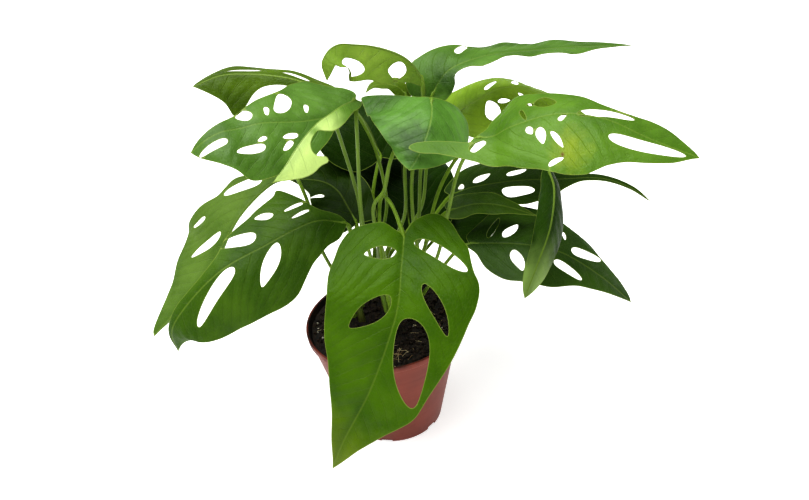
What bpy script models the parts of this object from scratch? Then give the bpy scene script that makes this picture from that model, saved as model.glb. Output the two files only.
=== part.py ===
# Monstera adansonii, the small-leaved Swiss cheese plant, in its plastic nursery pot.
# Metres, +Z up. The origin is the middle of the pot's underside, and -Y is the front.
# A leaf is drawn flat first, as its outline with its holes, and split into triangles.
# The flat leaf is then laid along its midrib in space, given its fold, droop and waves,
# and thickened, so both faces are split alike. The stalk is a tube joined on by a union.
# Lengths in the tables are millimetres, because leaves are measured that way.

import math

import bmesh
import bpy
import numpy as np
from mathutils import Vector
from mathutils.geometry import delaunay_2d_cdt

MM = 0.001
GAP = 0.3

# The pot
POT_HEIGHT = 95.0
POT_RIM_RADIUS = 60.0
POT_BASE_RADIUS = 38.5
POT_WALL = 1.2
POT_FLOOR = 1.6
POT_LIP = 1.0
POT_LIP_HEIGHT = 5.0
POT_SIDES = 40
DRAIN_HOLES = 8
DRAIN_RADIUS = 3.6
DRAIN_SIDES = 10
DRAIN_RING_RADIUS = 27.0
NOTCHES = 6
NOTCH_WIDTH = 9.0
NOTCH_HEIGHT = 3.2
NOTCH_DEPTH = 6.0
NOTCH_BITE = 1.6
NOTCH_START = -45
RIM_ROUND = 0.6
FOOT_ROUND = 0.8
CUT_PAST = 2.0
SHARP_ANGLE = 35

# The soil
SOIL_EDGE_HEIGHT = 89.5
SOIL_MOUND = 4.5
SOIL_LUMP = 0.9
SOIL_SIDES = 32
SOIL_RINGS = 6
SOIL_INSET = 0.4
SOCKET_EASE = 0.15
SOCKET_ABOVE = 20.0

# The leaves
BLADE_THICKNESS = 0.8
RIB_DEPTH = 0.9
OUTLINE_STEP = 7.5
INSIDE_STEP = 13.5
LONG_SLOT = 9.0
STALK_SIDES = 6
STALK_STEP = 11.0
STALK_BASE_RADIUS = 2.1
STALK_RADIUS = 1.35
STALK_NECK_RADIUS = 1.7
STALK_END_RADIUS = 0.7
STALK_UNDER = 0.5
STALK_REACH = 7.0
NECK_PLACE = 9.0
NECK_LENGTH = 7.0
FOOT_SHARE = 0.25
STALK_FLAT = math.cos(math.pi / STALK_SIDES)
CORNER = 0.25
LOBE_GAP = 1.5
RIB_STEP = 2.0
NORMAL_STEP = 0.6

# The stems
STEM_SIDES = 8
STEM_TIP = 22.0
STEM_RINGS = 9
STEM_TIP_SHOULDER = 0.7
STEM_TIP_RADIUS = 0.4
STALK_RISE = 12.0
STALK_LEAVING = 2.2
STEM_FLAT = math.cos(math.pi / STEM_SIDES)

# The leaves' greens
LEAF_GREEN = (0.09, 0.20, 0.02)
YOUNG_GREEN = (0.22, 0.38, 0.05)
SHADED_GREEN = (0.03, 0.08, 0.01)
YOUNG = ("leaf_curled", "leaf_top_arched", "leaf_right_behind", "leaf_top_small")
SHADED = ("leaf_left_shade", "leaf_right_far", "leaf_right_middle", "leaf_back_left",
          "leaf_back_middle", "leaf_back_right")


def clear_scene():
    for obj in list(bpy.data.objects):
        bpy.data.objects.remove(obj, do_unlink=True)


def material(name, colour, roughness):
    """A Principled BSDF of one colour."""
    mat = bpy.data.materials.new(name)
    mat.use_nodes = True
    shader = mat.node_tree.nodes["Principled BSDF"]
    shader.inputs["Base Color"].default_value = (*colour, 1.0)
    shader.inputs["Roughness"].default_value = roughness
    shader.inputs["Metallic"].default_value = 0.0
    return mat


def mesh_object(name, points, faces, mat):
    """A mesh object from points in millimetres."""
    mesh = bpy.data.meshes.new(name)
    mesh.from_pydata([Vector(p) * MM for p in points], [], faces)
    mesh.validate()
    mesh.shade_smooth()
    obj = bpy.data.objects.new(name, mesh)
    bpy.context.collection.objects.link(obj)
    mesh.materials.append(mat)
    return obj


def boolean(obj, other, operation):
    """Joins or cuts obj with other, applies it and removes other."""
    modifier = obj.modifiers.new(operation.title(), "BOOLEAN")
    modifier.operation = operation
    modifier.solver = "EXACT"
    modifier.object = other
    graph = bpy.context.evaluated_depsgraph_get()
    result = bpy.data.meshes.new_from_object(obj.evaluated_get(graph))
    obj.modifiers.clear()
    obj.data = result
    bpy.data.objects.remove(other, do_unlink=True)


# Curves

def smooth_line(points, step):
    """Points about one step apart on a Catmull-Rom curve through the given points."""
    p = np.asarray(points, float)
    p = np.vstack([2 * p[0] - p[1], p, 2 * p[-1] - p[-2]])
    out = []
    for a, b, c, d in zip(p[:-3], p[1:-2], p[2:-1], p[3:]):
        count = max(1, round(np.linalg.norm(c - b) / step))
        for t in np.arange(count) / count:
            out.append(
                0.5 * (2 * b + (c - a) * t + (2 * a - 5 * b + 4 * c - d) * t**2
                       + (3 * b - a - 3 * c + d) * t**3)
            )
    out.append(p[-2])
    return np.array(out)


def along(line):
    """The distance from the start at each point of a line."""
    return np.concatenate([[0.0], np.cumsum(np.linalg.norm(np.diff(line, axis=0), axis=1))])


def unit(v):
    return v / np.linalg.norm(v, axis=-1, keepdims=True)


# The flat leaf

def inside(points, loop):
    """Which points lie inside a closed loop, by counting the edges to their right."""
    x, y = points[:, 0, None], points[:, 1, None]
    x0, y0 = loop[:, 0], loop[:, 1]
    x1, y1 = np.roll(x0, -1), np.roll(y0, -1)
    spans = (y0 > y) != (y1 > y)
    rise = np.where(y1 == y0, 1.0, y1 - y0)
    return ((spans & (x < x0 + (y - y0) * (x1 - x0) / rise)).sum(axis=1) % 2) == 1


def distance_to(points, loop):
    """The distance from each point to the nearest edge of a closed loop."""
    a, b = loop, np.roll(loop, -1, axis=0)
    edge = b - a
    away = points[:, None] - a
    share = np.clip((away * edge).sum(-1) / (edge**2).sum(-1), 0, 1)
    return np.linalg.norm(away - share[..., None] * edge, axis=-1).min(axis=1)


def outline_of(leaf, step):
    """The leaf's edge as a closed loop: up the left side to the tip and back down the right."""
    length = leaf["length"]
    left = [(-LOBE_GAP, 0.0)] + [(x, w) for x, w in leaf["left"]] + [(length, 0.0)]
    right = [(-LOBE_GAP, 0.0)] + [(x, -w) for x, w in leaf["right"]] + [(length, 0.0)]
    up = smooth_line(left, step)
    down = smooth_line(right, step)[::-1]
    return np.vstack([up[:-1], down[:-1]])[::-1]


def slot_loop(slot, count):
    """A hole between two side veins: a long oval, narrower at its outer end and a little uneven."""
    x, y, length, width, turn = slot
    t = np.arange(count) / count * math.tau
    u = np.cos(t) * length / 2
    v = np.sin(t) * width / 2 * (1 - 0.25 * np.cos(t)) * (1 + 0.16 * np.sin(2 * t + x))
    c, s = math.cos(math.radians(turn)), math.sin(math.radians(turn))
    return np.stack([x + u * c - v * s, y + u * s + v * c], -1)


def flat_leaf(leaf):
    """The flat blade as points and triangles."""
    edge = outline_of(leaf, OUTLINE_STEP)
    slots = [slot_loop(slot, 10 if slot[2] > LONG_SLOT else 6) for slot in leaf["slots"]]
    length = leaf["length"]
    rib_x = np.arange(1, int(length / INSIDE_STEP)) * INSIDE_STEP
    rib = np.stack([rib_x, np.zeros(len(rib_x))], -1)
    low, high = edge.min(axis=0), edge.max(axis=0)
    grid = []
    for row, x in enumerate(np.arange(low[0], high[0], INSIDE_STEP * 0.87)):
        for y in np.arange(low[1] + INSIDE_STEP * (row % 2) / 2, high[1], INSIDE_STEP):
            grid.append((x, y))
    grid = np.array(grid)
    keep = inside(grid, edge) & (distance_to(grid, edge) > INSIDE_STEP * 0.5)
    keep &= np.abs(grid[:, 1]) > INSIDE_STEP * 0.45
    for loop in slots:
        keep &= ~inside(grid, loop) & (distance_to(grid, loop) > INSIDE_STEP * 0.4)
    points, links = [], []
    for loop in [edge] + slots:
        first = len(points)
        points.extend(loop)
        links.extend((first + i, first + (i + 1) % len(loop)) for i in range(len(loop)))
    tip = int(np.argmax(edge[:, 0]))
    sinus = int(np.argmin(np.abs(edge[:, 1]) + np.where(edge[:, 0] > 5, 1000, 0)))
    chain = [sinus] + list(range(len(points), len(points) + len(rib))) + [tip]
    points.extend(rib)
    links.extend(zip(chain[:-1], chain[1:]))
    points.extend(grid[keep])
    found = delaunay_2d_cdt([Vector(p) for p in points], links, [], 0, 1e-5)
    flat = np.array([tuple(v) for v in found[0]])
    faces = np.array([tuple(f) for f in found[2]])
    middle = flat[faces].mean(axis=1)
    keep = inside(middle, edge)
    for loop in slots:
        keep &= ~inside(middle, loop)
    faces = faces[keep]
    a, b, c = flat[faces[:, 0]], flat[faces[:, 1]], flat[faces[:, 2]]
    turn = (b[:, 0] - a[:, 0]) * (c[:, 1] - a[:, 1]) - (b[:, 1] - a[:, 1]) * (c[:, 0] - a[:, 0])
    faces[turn < 0] = faces[turn < 0][:, ::-1]
    used, faces = np.unique(faces, return_inverse=True)
    return flat[used], faces.reshape(-1, 3)


# The leaf in space

def rib_frame(leaf, x):
    """Place, direction, left side and upper side of the midrib at a distance along it."""
    line = smooth_line(leaf["rib"], RIB_STEP)
    far = along(line)
    inner = np.clip(x, 0, far[-1])
    place = np.stack([np.interp(inner, far, line[:, i]) for i in range(3)], -1)
    course = unit(np.gradient(line, far, axis=0))
    forward = unit(np.stack([np.interp(inner, far, course[:, i]) for i in range(3)], -1))
    place = place + forward * (x - inner)[:, None]
    faces = unit(np.array(leaf["face"] * (1 if len(leaf["face"]) > 1 else 2), float))
    share = np.clip(x / far[-1], 0, 1) * (len(faces) - 1)
    up = np.stack([np.interp(share, np.arange(len(faces)), faces[:, i]) for i in range(3)], -1)
    up = unit(up - forward * (up * forward).sum(-1, keepdims=True))
    return place, np.cross(up, forward), up


def laid(leaf, flat):
    """The flat points in space: the halves fold at the midrib, curl towards their edges and wave."""
    x, y = flat[:, 0], flat[:, 1]
    place, side, up = rib_frame(leaf, x)
    share = np.clip(x / leaf["length"], 0, 1)
    out, rise = np.zeros(len(x)), np.zeros(len(x))
    for sign, index in ((1, 0), (-1, 1)):
        here = (y * sign) >= 0
        wide = max(w for _, w in leaf["left" if index == 0 else "right"])
        s = np.abs(y[here])
        fold = leaf["fold"][index]
        curl = leaf["curl"][index]
        start = math.radians(fold)
        bend = np.full(len(s), math.radians(curl) / wide)
        bend[np.abs(bend) < 1e-6] = 1e-6
        end = start + bend * s
        out[here] = sign * (np.sin(end) - math.sin(start)) / bend
        rise[here] = (math.cos(start) - np.cos(end)) / bend
        count, height, phase = leaf["wave"]
        wave = np.sin(math.tau * (count * share[here] + phase + 0.37 * index))
        rise[here] += height * wave * (s / wide) ** 2
    return place + side * out[:, None] + up * rise[:, None]


def surface_normals(leaf, flat):
    """The upper side's direction at each flat point, from small steps along and across."""
    step = NORMAL_STEP
    ahead = laid(leaf, flat + (step, 0)) - laid(leaf, flat - (step, 0))
    left = laid(leaf, flat + (0, step)) - laid(leaf, flat - (0, step))
    return unit(np.cross(ahead, left))


def blade(leaf, mat):
    """The thick blade: the flat leaf laid in space, an upper and a lower face and the edges between."""
    flat, faces = flat_leaf(leaf)
    middle = laid(leaf, flat)
    normal = surface_normals(leaf, flat)
    share = np.clip(flat[:, 0] / leaf["length"], 0, 1)
    rib = np.where(np.abs(flat[:, 1]) < 0.01, RIB_DEPTH * (1 - share), 0.0)
    top = middle + normal * BLADE_THICKNESS / 2
    bottom = middle - normal * (BLADE_THICKNESS / 2 + rib)[:, None]
    count = len(flat)
    shell = [tuple(f) for f in faces] + [tuple(f[::-1] + count) for f in faces]
    directed = {}
    for a, b, c in faces:
        for edge in ((a, b), (b, c), (c, a)):
            directed[edge] = True
    for a, b in directed:
        if (b, a) not in directed:
            shell.append((b, a, a + count, b + count))
    shell = [tuple(int(i) for i in face) for face in shell]
    return mesh_object(leaf["name"], np.vstack([top, bottom]), shell, mat)


def tube(name, line, radii, sides, mat):
    """A closed tube along a line, its rings carried without twist."""
    line = np.asarray(line, float)
    forward = unit(np.gradient(line, axis=0))
    side = unit(np.cross(forward[0], (0.3, 0.9, 0.2)))
    points, faces = [], []
    for i, (centre, ahead, radius) in enumerate(zip(line, forward, radii)):
        side = unit(side - ahead * (side @ ahead))
        other = np.cross(ahead, side)
        for k in range(sides):
            turn = math.tau * k / sides
            points.append(centre + radius * (math.cos(turn) * side + math.sin(turn) * other))
        for k in range(sides if i else 0):
            a, b = (i - 1) * sides + k, (i - 1) * sides + (k + 1) % sides
            faces.append((a, b, b + sides, a + sides))
    last = (len(line) - 1) * sides
    faces.append(tuple(range(sides))[::-1])
    faces.append(tuple(range(last, last + sides)))
    return mesh_object(name, points, faces, mat)


def stalk(leaf, mat):
    """The leaf's stalk, from beside its stem to under the base of the blade."""
    place, _, up = rib_frame(leaf, np.array([0.0, STALK_REACH]))
    under = BLADE_THICKNESS / 2 + STALK_UNDER
    ends = [place[0] - up[0] * under, place[1] - up[1] * under]
    line = smooth_line(list(leaf["stalk"]) + ends, STALK_STEP)
    far = along(line)
    share = far / far[-1]
    radii = STALK_RADIUS + (STALK_BASE_RADIUS - STALK_RADIUS) * np.clip(1 - share / FOOT_SHARE, 0, 1)
    neck = np.exp(-((far - (far[-1] - NECK_PLACE)) / NECK_LENGTH) ** 2)
    radii += (STALK_NECK_RADIUS - STALK_RADIUS) * neck
    radii[-1] = STALK_END_RADIUS
    return tube(leaf["name"] + "_stalk", line, radii, STALK_SIDES, mat)


# Stems: name, foot and top of the axis, radius at the foot and near the top

STEMS = {
    "stem_front": dict(foot=(6, -13, 69.8), top=(9, -16, 132), radius=(3.2, 2.4)),
    "stem_left": dict(foot=(-15, 2, 69.8), top=(-21, 4, 140), radius=(3.2, 2.4)),
    "stem_right": dict(foot=(20, 3, 69.8), top=(27, 5, 142), radius=(3.2, 2.4)),
    "stem_back": dict(foot=(2, 19, 69.8), top=(4, 24, 146), radius=(3.4, 2.5)),
}


def stem_axis(stem, height):
    """The axis point at a height, and the stem's radius there."""
    foot, top = np.array(stem["foot"], float), np.array(stem["top"], float)
    share = (height - foot[2]) / (top[2] - foot[2])
    low, high = stem["radius"]
    return foot + (top - foot) * share, low + (high - low) * share


def beside(stem_name, height, bearing):
    """Two points for the start of a stalk that grows from a stem, on the side of the bearing."""
    stem = STEMS[stem_name]
    turn = math.radians(bearing)
    outward = np.array([math.cos(turn), math.sin(turn), 0.0])
    centre, radius = stem_axis(stem, height)
    first = centre + outward * (radius * STEM_FLAT + STALK_BASE_RADIUS * STALK_FLAT + GAP + CORNER)
    above, radius = stem_axis(stem, height + STALK_RISE)
    second = above + outward * (radius + STALK_BASE_RADIUS + STALK_LEAVING)
    return [tuple(first), tuple(second)]


def plain_side(length, width):
    """One side of an ordinary leaf: a rounded lobe behind the stalk, widest early, then a long point."""
    shape = [(-0.05, 0.30), (-0.045, 0.62), (0.08, 0.93), (0.27, 1.0), (0.48, 0.86), (0.68, 0.55),
             (0.84, 0.24), (0.93, 0.08)]
    return [(x * length, w * width) for x, w in shape]


def leaf(name, rib, face, width=(30, 30), **values):
    """One leaf's values. Where its edges aren't given they come from its length and two half-widths."""
    length = float(along(smooth_line(rib, RIB_STEP))[-1])
    entry = dict(name=name, rib=rib, face=face, length=length, slots=[])
    entry.update(fold=(0, 0), curl=(0, 0), wave=(2.5, 1.2, 0.1))
    entry["left"] = plain_side(length, width[0])
    entry["right"] = plain_side(length, width[1])
    entry.update(values)
    return entry


# Leaves: the midrib's points from the stalk to the tip, the directions that the upper side faces,
# spread evenly along it, the half-widths or each half's edge as (along, out) points, the holes as
# (along, across, length, width, turn in degrees), each half's fold and curl in degrees, the number,
# height and start of the waves, and the stalk's points from its stem

LEAVES = [
    leaf(
        "leaf_front",
        rib=[(21, -42, 195), (16, -66, 186), (8, -88, 163), (-14, -108, 122), (-38, -116, 84),
             (-49, -116, 59)],
        face=[(0, -0.7, 0.7), (-0.2, -0.9, 0.4)],
        fold=(12, 12), curl=(-25, -25),
        left=[(-6, 2), (-14, 7), (-20, 19), (-15, 30), (-2, 38), (8, 44), (20, 47), (36, 53),
              (47, 52), (57, 48), (76, 44), (100, 38), (116, 35), (127, 28), (136, 22), (154, 13),
              (170, 6)],
        right=[(-4, 6), (-9, 15), (-7, 24), (-1, 36), (10, 43), (24, 46), (37, 49), (66, 47),
               (88, 42), (104, 34), (122, 26), (140, 16), (158, 8), (171, 3)],
        slots=[(61, -17, 36, 13, -36), (85, 19, 57, 23, 24), (50, 26, 33, 8, 40),
               (15, 26, 42, 11, 61), (17, -15, 22, 9, -77)],
        stalk=beside("stem_front", 100, -100) + [(4, -26, 150), (6, -16, 195), (10, -12, 211),
              (16, -24, 209)],
    ),
    leaf(
        "leaf_left_low",
        rib=[(-18, -6, 190), (-41, -14, 199), (-78, -26, 191), (-107, -36, 183), (-132, -42, 165),
             (-149, -46, 145), (-150, -44, 123)],
        face=[(0, -0.3, 0.95), (-0.4, -0.5, 0.8)],
        fold=(-20, 0), curl=(-30, -10),
        left=[(2, 6), (7, 14), (18, 20), (29, 24), (40, 28), (51, 35), (61, 42), (71, 45), (83, 45),
              (95, 44), (107, 42), (118, 39), (130, 36), (140, 32), (150, 26), (160, 17), (170, 6)],
        right=[(4, 7), (16, 10), (21, 15), (26, 26), (36, 43), (42, 38), (57, 33), (64, 30), (77, 26),
               (86, 22), (96, 13), (112, 8), (128, 7), (141, 7), (158, 4)],
        slots=[(67, 14, 33, 9, 43), (115, 10, 52, 10, 14), (78, -15, 26, 12, -14),
               (54, -24, 14, 6, -22), (33, -20, 14, 4, 4), (31, -11, 14, 3, 5)],
        stalk=beside("stem_left", 100, 200) + [(-20, -4, 150), (-16, -4, 180)],
    ),
    leaf(
        "leaf_left_far",
        rib=[(-55, 49, 203), (-72, 41, 203), (-97, 27, 188), (-118, 10, 165), (-149, -4, 136),
             (-173, -12, 116)],
        face=[(-0.2, -0.3, 0.93), (-0.5, -0.5, 0.7)],
        fold=(32, -5), curl=(-20, -10),
        left=[(2, 3), (12, 5), (28, 5), (50, 5), (72, 6), (88, 12), (110, 14), (130, 10), (155, 3)],
        right=[(0, 5), (8, 11), (16, 17), (24, 26), (33, 35), (43, 35), (50, 36), (60, 47), (75, 52),
               (88, 47), (100, 41), (113, 35), (126, 24), (136, 19), (150, 12), (161, 5)],
        slots=[(33, -20, 33, 12, -38), (85, -16, 36, 8, -25), (70, -38, 16, 5, -38)],
        stalk=beside("stem_left", 108, 165) + [(-40, 6, 165), (-43, 14, 192), (-49, 24, 213)],
    ),
    leaf(
        "leaf_left_shade",
        rib=[(-11, 14, 177), (-16, 26, 184), (-23, 40, 192), (-36, 52, 195), (-62, 62, 195)],
        face=[(0, -0.2, 0.97)],
        width=(26, 26), slots=[(38, 16, 14, 4, 40)],
        right=[(-3, 8), (-3, 15), (6, 19), (18, 22), (30, 23), (44, 25), (54, 22), (61, 13)],
        stalk=beside("stem_left", 104, 60) + [(-16, 12, 150), (-12, 11, 168)],
    ),
    leaf(
        "leaf_upper_left",
        rib=[(-17, 4, 269), (-38, -8, 274), (-62, -18, 281), (-76, -24, 282), (-87, -30, 284),
             (-97, -34, 282), (-109, -36, 275)],
        face=[(0, -0.35, 0.94)],
        fold=(-12, 8), curl=(-25, -15), wave=(2.5, 0.5, 0.1),
        left=[(-2, 4), (2, 9), (7, 14), (13, 19), (20, 24), (28, 31), (38, 36), (50, 38), (64, 38),
              (74, 36), (84, 28), (93, 18), (101, 8)],
        right=[(-8, 5), (-18, 9), (-27, 14), (-29, 20), (-24, 26), (-15, 30), (-8, 35), (-1, 40),
               (6, 41), (14, 39), (25, 33), (35, 28), (48, 22), (56, 17), (65, 12), (80, 7), (97, 3)],
        slots=[(90, 7, 22, 6, 0), (66, 17, 21, 6, 0), (56, 12, 8, 3, 8), (38, 18, 10, 4, 39),
               (35, 11, 11, 4, 12), (32, -17, 23, 13, 46), (46, -10, 8, 4, 79), (61, -9, 11, 8, 0),
               (15, -11, 9, 4, 65)],
        stalk=beside("stem_left", 118, 20) + [(-9, 5, 165), (-7, 5, 200), (-13, 6, 245)],
    ),
    leaf(
        "leaf_top_left",
        rib=[(-16, 40, 271), (-39, 44, 282), (-56, 48, 286), (-75, 52, 288), (-93, 52, 289),
             (-113, 48, 285)],
        face=[(0, 0.0, 1), (0, 0.05, 1), (0, 0.1, 1)],
        left=[(-2, 4), (10, 6), (28, 6), (42, 7), (54, 12), (66, 26), (76, 29), (86, 19), (96, 7)],
        right=[(-4, 8), (2, 14), (16, 17), (32, 16), (48, 18), (64, 24), (76, 26), (86, 20), (96, 8)],
        fold=(-55, -4), curl=(-15, -10),
        slots=[(66, -9, 24, 5, 2), (28, -7, 22, 5, -8)],
        stalk=beside("stem_back", 126, 100) + [(10, 38, 158), (14, 44, 178), (10, 54, 215),
              (-2, 52, 250)],
    ),
    leaf(
        "leaf_curled",
        rib=[(0, -4, 283), (-8, -18, 287), (-16, -32, 289), (-25, -46, 290), (-33, -58, 288),
             (-40, -68, 284), (-47, -76, 278), (-56, -82, 271)],
        face=[(-0.1, -0.2, 0.97), (-0.3, -0.3, 0.9), (-0.25, -0.35, 0.9), (-0.2, -0.4, 0.9)],
        fold=(-35, -45), curl=(-35, -60), wave=(4.5, 0.8, 0.1),
        left=[(-3, 4), (4, 7), (16, 8), (26, 10), (34, 11), (45, 11), (51, 8), (56, 4), (66, 5),
              (71, 9), (71, 14), (66, 19), (69, 22), (76, 19), (83, 17), (88, 14), (93, 9), (98, 4)],
        right=[(-5, 6), (-6, 11), (4, 12), (14, 11), (24, 9), (36, 7), (48, 6), (60, 6), (76, 5),
               (92, 3)],
        slots=[],
        stalk=beside("stem_front", 112, 170) + [(-6, -14, 190), (-2, -12, 260)],
    ),
    leaf(
        "leaf_top_arched",
        rib=[(48, 16, 282), (44, 15, 292), (37, 14, 301), (27, 12, 308), (15, 9, 314), (4, 5, 318),
             (-5, 1, 321), (-12, -3, 320), (-17, -7, 316), (-19, -9, 311), (-17, -11, 301)],
        face=[(0.3, -0.2, 0.93), (0.1, -0.2, 0.97), (-0.3, -0.2, 0.9), (-0.9, -0.3, 0.2)],
        fold=(-60, -30), curl=(12, -20),
        left=[(-3, 3), (3, 8), (9, 14), (18, 18), (28, 21), (40, 23), (54, 24), (64, 24), (73, 22),
              (80, 19), (86, 15), (91, 11), (96, 8), (100, 4)],
        right=[(2, 3), (16, 5), (28, 7), (42, 9), (56, 11), (70, 10), (84, 8), (97, 4)],
        slots=[(68, 15, 30, 10, -6), (23, 10.5, 18, 11, 15)],
        stalk=beside("stem_right", 124, -20) + [(31, 8, 176), (34, 9, 216), (45, 14, 250)],
    ),
    leaf(
        "leaf_top_right",
        rib=[(53, 20, 267), (60, 22, 278), (71, 26, 285), (97, 32, 288), (127, 38, 285),
             (159, 42, 282), (202, 44, 277)],
        face=[(-0.35, -0.85, 0.45), (-0.25, -0.5, 0.8), (0, 0.08, 1), (0, 0.17, 0.98),
              (0, 0.17, 0.98), (0, 0.17, 0.98), (0, 0.17, 0.98), (0, 0.17, 0.98)],
        fold=(4, 0), curl=(-10, -5), wave=(4.5, 1.6, 0.1),
        left=[(-4, 6), (-6, 14), (0, 21), (12, 25), (26, 23), (42, 25), (60, 30), (80, 30), (104, 26),
              (126, 18), (144, 8)],
        right=[(-3, 4), (0, 9), (9, 12), (17, 11), (25, 6), (36, 7), (44, 14), (54, 14), (62, 12),
               (76, 16), (90, 14), (104, 22), (114, 18), (130, 12), (146, 5)],
        slots=[(40, 18, 18, 6, 50)],
        stalk=beside("stem_right", 124, 60) + [(36, 17, 172), (41, 19, 213), (50, 22, 245)],
    ),
    leaf(
        "leaf_right",
        rib=[(74, -47, 266), (84, -50, 267), (96, -55, 275), (123, -62, 283), (149, -72, 281),
             (175, -83, 269), (205, -90, 255)],
        face=[(0, -0.25, 0.97)],
        fold=(0, -10), curl=(-20, -20),
        left=[(5, 7), (8, 15), (13, 24), (21, 34), (30, 36), (46, 27), (58, 21), (68, 18), (80, 13),
              (91, 12), (101, 14), (114, 17), (127, 15), (139, 7)],
        right=[(-5, 4), (-15, 3), (-28, 2), (-40, 3), (-44, 7), (-36, 11), (-25, 12), (-13, 15),
               (1, 19), (8, 22), (26, 31), (37, 36), (49, 41), (67, 42), (87, 38), (98, 29),
               (107, 22), (120, 16), (131, 11), (140, 5)],
        slots=[(47, 14, 14, 10, -25), (84, 5, 36, 7, 17), (58, -3, 7, 4, 49), (38, 16, 6, 3, -47),
               (33, 7, 12, 3, -74), (36, -8, 7, 4, -67), (43, -14, 13, 6, -86), (55, -19, 16, 4, -50),
               (53, -34, 17, 4, 14), (1, -7, 12, 7, 33), (114, -7, 49, 9, 10)],
        stalk=beside("stem_right", 108, -80) + [(43, -12, 150), (54, -16, 190), (61, -28, 228),
              (68, -42, 254)],
    ),
    leaf(
        "leaf_right_behind",
        rib=[(73, 40, 243), (90, 50, 247), (108, 60, 249), (129, 70, 242), (158, 80, 223),
             (184, 84, 203)],
        face=[(0.1, -0.2, 0.97)],
        width=(30, 36), fold=(-10, -10), curl=(-20, -20),
        slots=[(40, 10, 20, 5, 30), (36, -12, 12, 4, -12), (22, -14, 18, 12, 70),
               (60, -14, 18, 6, -50), (64, 12, 18, 6, 50)],
        stalk=beside("stem_back", 120, 40) + [(38, 30, 170), (47, 32, 208), (60, 37, 232)],
    ),
    leaf(
        "leaf_centre",
        rib=[(51, 5, 273), (50, -8, 270), (47, -20, 266), (42, -30, 260), (36, -38, 253),
             (29, -43, 246)],
        face=[(0, -0.4, 0.9)],
        fold=(-25, 0), curl=(-30, -12),
        left=[(-3, 9), (-4, 17), (-3, 25), (4, 31), (13, 33), (24, 32), (36, 27), (46, 20), (54, 11),
              (59, 4)],
        right=[(-3, 10), (-9, 28), (-13, 43), (-12, 48), (-5, 47), (4, 45), (18, 42), (32, 38),
               (44, 29), (52, 22), (58, 16), (61, 8)],
        slots=[],
        stalk=beside("stem_front", 106, 40) + [(2, -16, 197), (12, -18, 220), (20, -14, 243),
              (38, 0, 262)],
    ),
    leaf(
        "leaf_right_low",
        rib=[(72, 4, 152), (108, -6, 152), (136, -14, 146), (165, -20, 124), (189, -24, 98)],
        face=[(0, -0.2, 0.97)],
        fold=(0, -5), curl=(-10, -15),
        left=[(-4, 7), (0, 15), (7, 26), (13, 36), (22, 44), (34, 47), (52, 41), (69, 31), (91, 25),
              (103, 18), (115, 13), (125, 10), (135, 5)],
        right=[(-2, 4), (5, 10), (12, 21), (21, 28), (30, 32), (40, 33), (56, 33), (70, 30), (87, 21),
               (100, 16), (117, 9), (130, 4)],
        slots=[(16, 17, 24, 5, 75), (29, 14, 18, 7, 60), (37, -15, 20, 8, -63), (90, 11, 29, 10, 20),
               (77, -12, 26, 8, -8), (59, 15, 18, 8, -85), (69, 18, 8, 3, -77)],
        stalk=beside("stem_right", 96, -10) + [(46, 2, 130), (60, 3, 146)],
    ),
    leaf(
        "leaf_hanging",
        rib=[(131, 2, 209), (131, -18, 203), (123, -42, 189), (112, -56, 172), (99, -64, 145)],
        face=[(0.1, -0.6, 0.8)],
        left=[(-2, 4), (8, 7), (24, 10), (36, 17), (50, 20), (64, 20), (78, 18), (90, 14), (98, 8)],
        right=[(-2, 4), (8, 10), (24, 15), (50, 16), (70, 13), (88, 10), (98, 6)],
        fold=(-40, -40), curl=(-30, -30),
        slots=[],
        stalk=beside("stem_right", 110, 20) + [(40, 8, 160), (54, 12, 200), (76, 13, 229), (104, 11, 234),
              (123, 9, 223)],
    ),
    leaf(
        "leaf_right_far",
        rib=[(65, 50, 169), (84, 54, 171), (119, 62, 167), (155, 66, 161), (188, 66, 157),
             (212, 62, 147), (228, 56, 135)],
        face=[(0, -0.1, 1)],
        curl=(-10, -10),
        left=[(-3, 8), (10, 20), (30, 32), (48, 38), (62, 38), (76, 29), (93, 14), (104, 9), (115, 6),
              (129, 5), (148, 4), (163, 2)],
        right=[(-2, 6), (0, 9), (8, 15), (16, 20), (38, 28), (52, 31), (67, 27), (80, 21), (87, 17),
               (94, 12), (108, 5), (120, 4), (143, 3), (163, 2)],
        slots=[(30, 10, 21, 6, 28), (60, 12, 20, 6, 23), (52, -14, 29, 15, 4), (10, 4, 8, 4, 63)],
        stalk=beside("stem_back", 104, -10) + [(28, 26, 135), (52, 44, 158)],
    ),
    leaf(
        "leaf_right_middle",
        rib=[(60, 22, 172), (79, 18, 177), (99, 12, 176), (126, 8, 165)],
        face=[(0, -0.3, 0.95)],
        width=(12, 11), slots=[],
        stalk=beside("stem_right", 104, 90) + [(40, 22, 145), (52, 24, 164)],
    ),
    leaf(
        "leaf_top_small",
        rib=[(36, 26, 267), (31, 28, 274), (22, 29, 277), (13, 26, 278), (7, 20, 276)],
        face=[(0, -0.2, 0.97)],
        width=(8, 8), slots=[],
        stalk=beside("stem_back", 132, -30) + [(25, 12, 178), (29, 12, 218), (34, 19, 245)],
    ),
    leaf(
        "leaf_back_left",
        rib=[(14, 70, 200), (6, 88, 220), (-6, 112, 226), (-20, 138, 205), (-28, 154, 180)],
        face=[(0, -0.2, 0.97)],
        width=(46, 34), fold=(18, -5), curl=(-20, -25), slots=[],
        stalk=beside("stem_back", 112, 150) + [(2, 40, 150), (4, 48, 178), (10, 62, 194)],
    ),
    leaf(
        "leaf_back_middle",
        rib=[(30, 52, 142), (30, 82, 174), (32, 118, 177), (34, 150, 154), (34, 162, 130)],
        face=[(0, -0.2, 0.97)],
        width=(44, 44), fold=(-5, -5), curl=(-25, -25),
        slots=[(84, 20, 26, 10, 50), (100, 15, 20, 8, 45), (84, -20, 26, 10, -50),
               (100, -15, 20, 8, -45)],
        stalk=beside("stem_back", 99, 95) + [(12, 41, 118), (24, 47, 133)],
    ),
    leaf(
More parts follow.
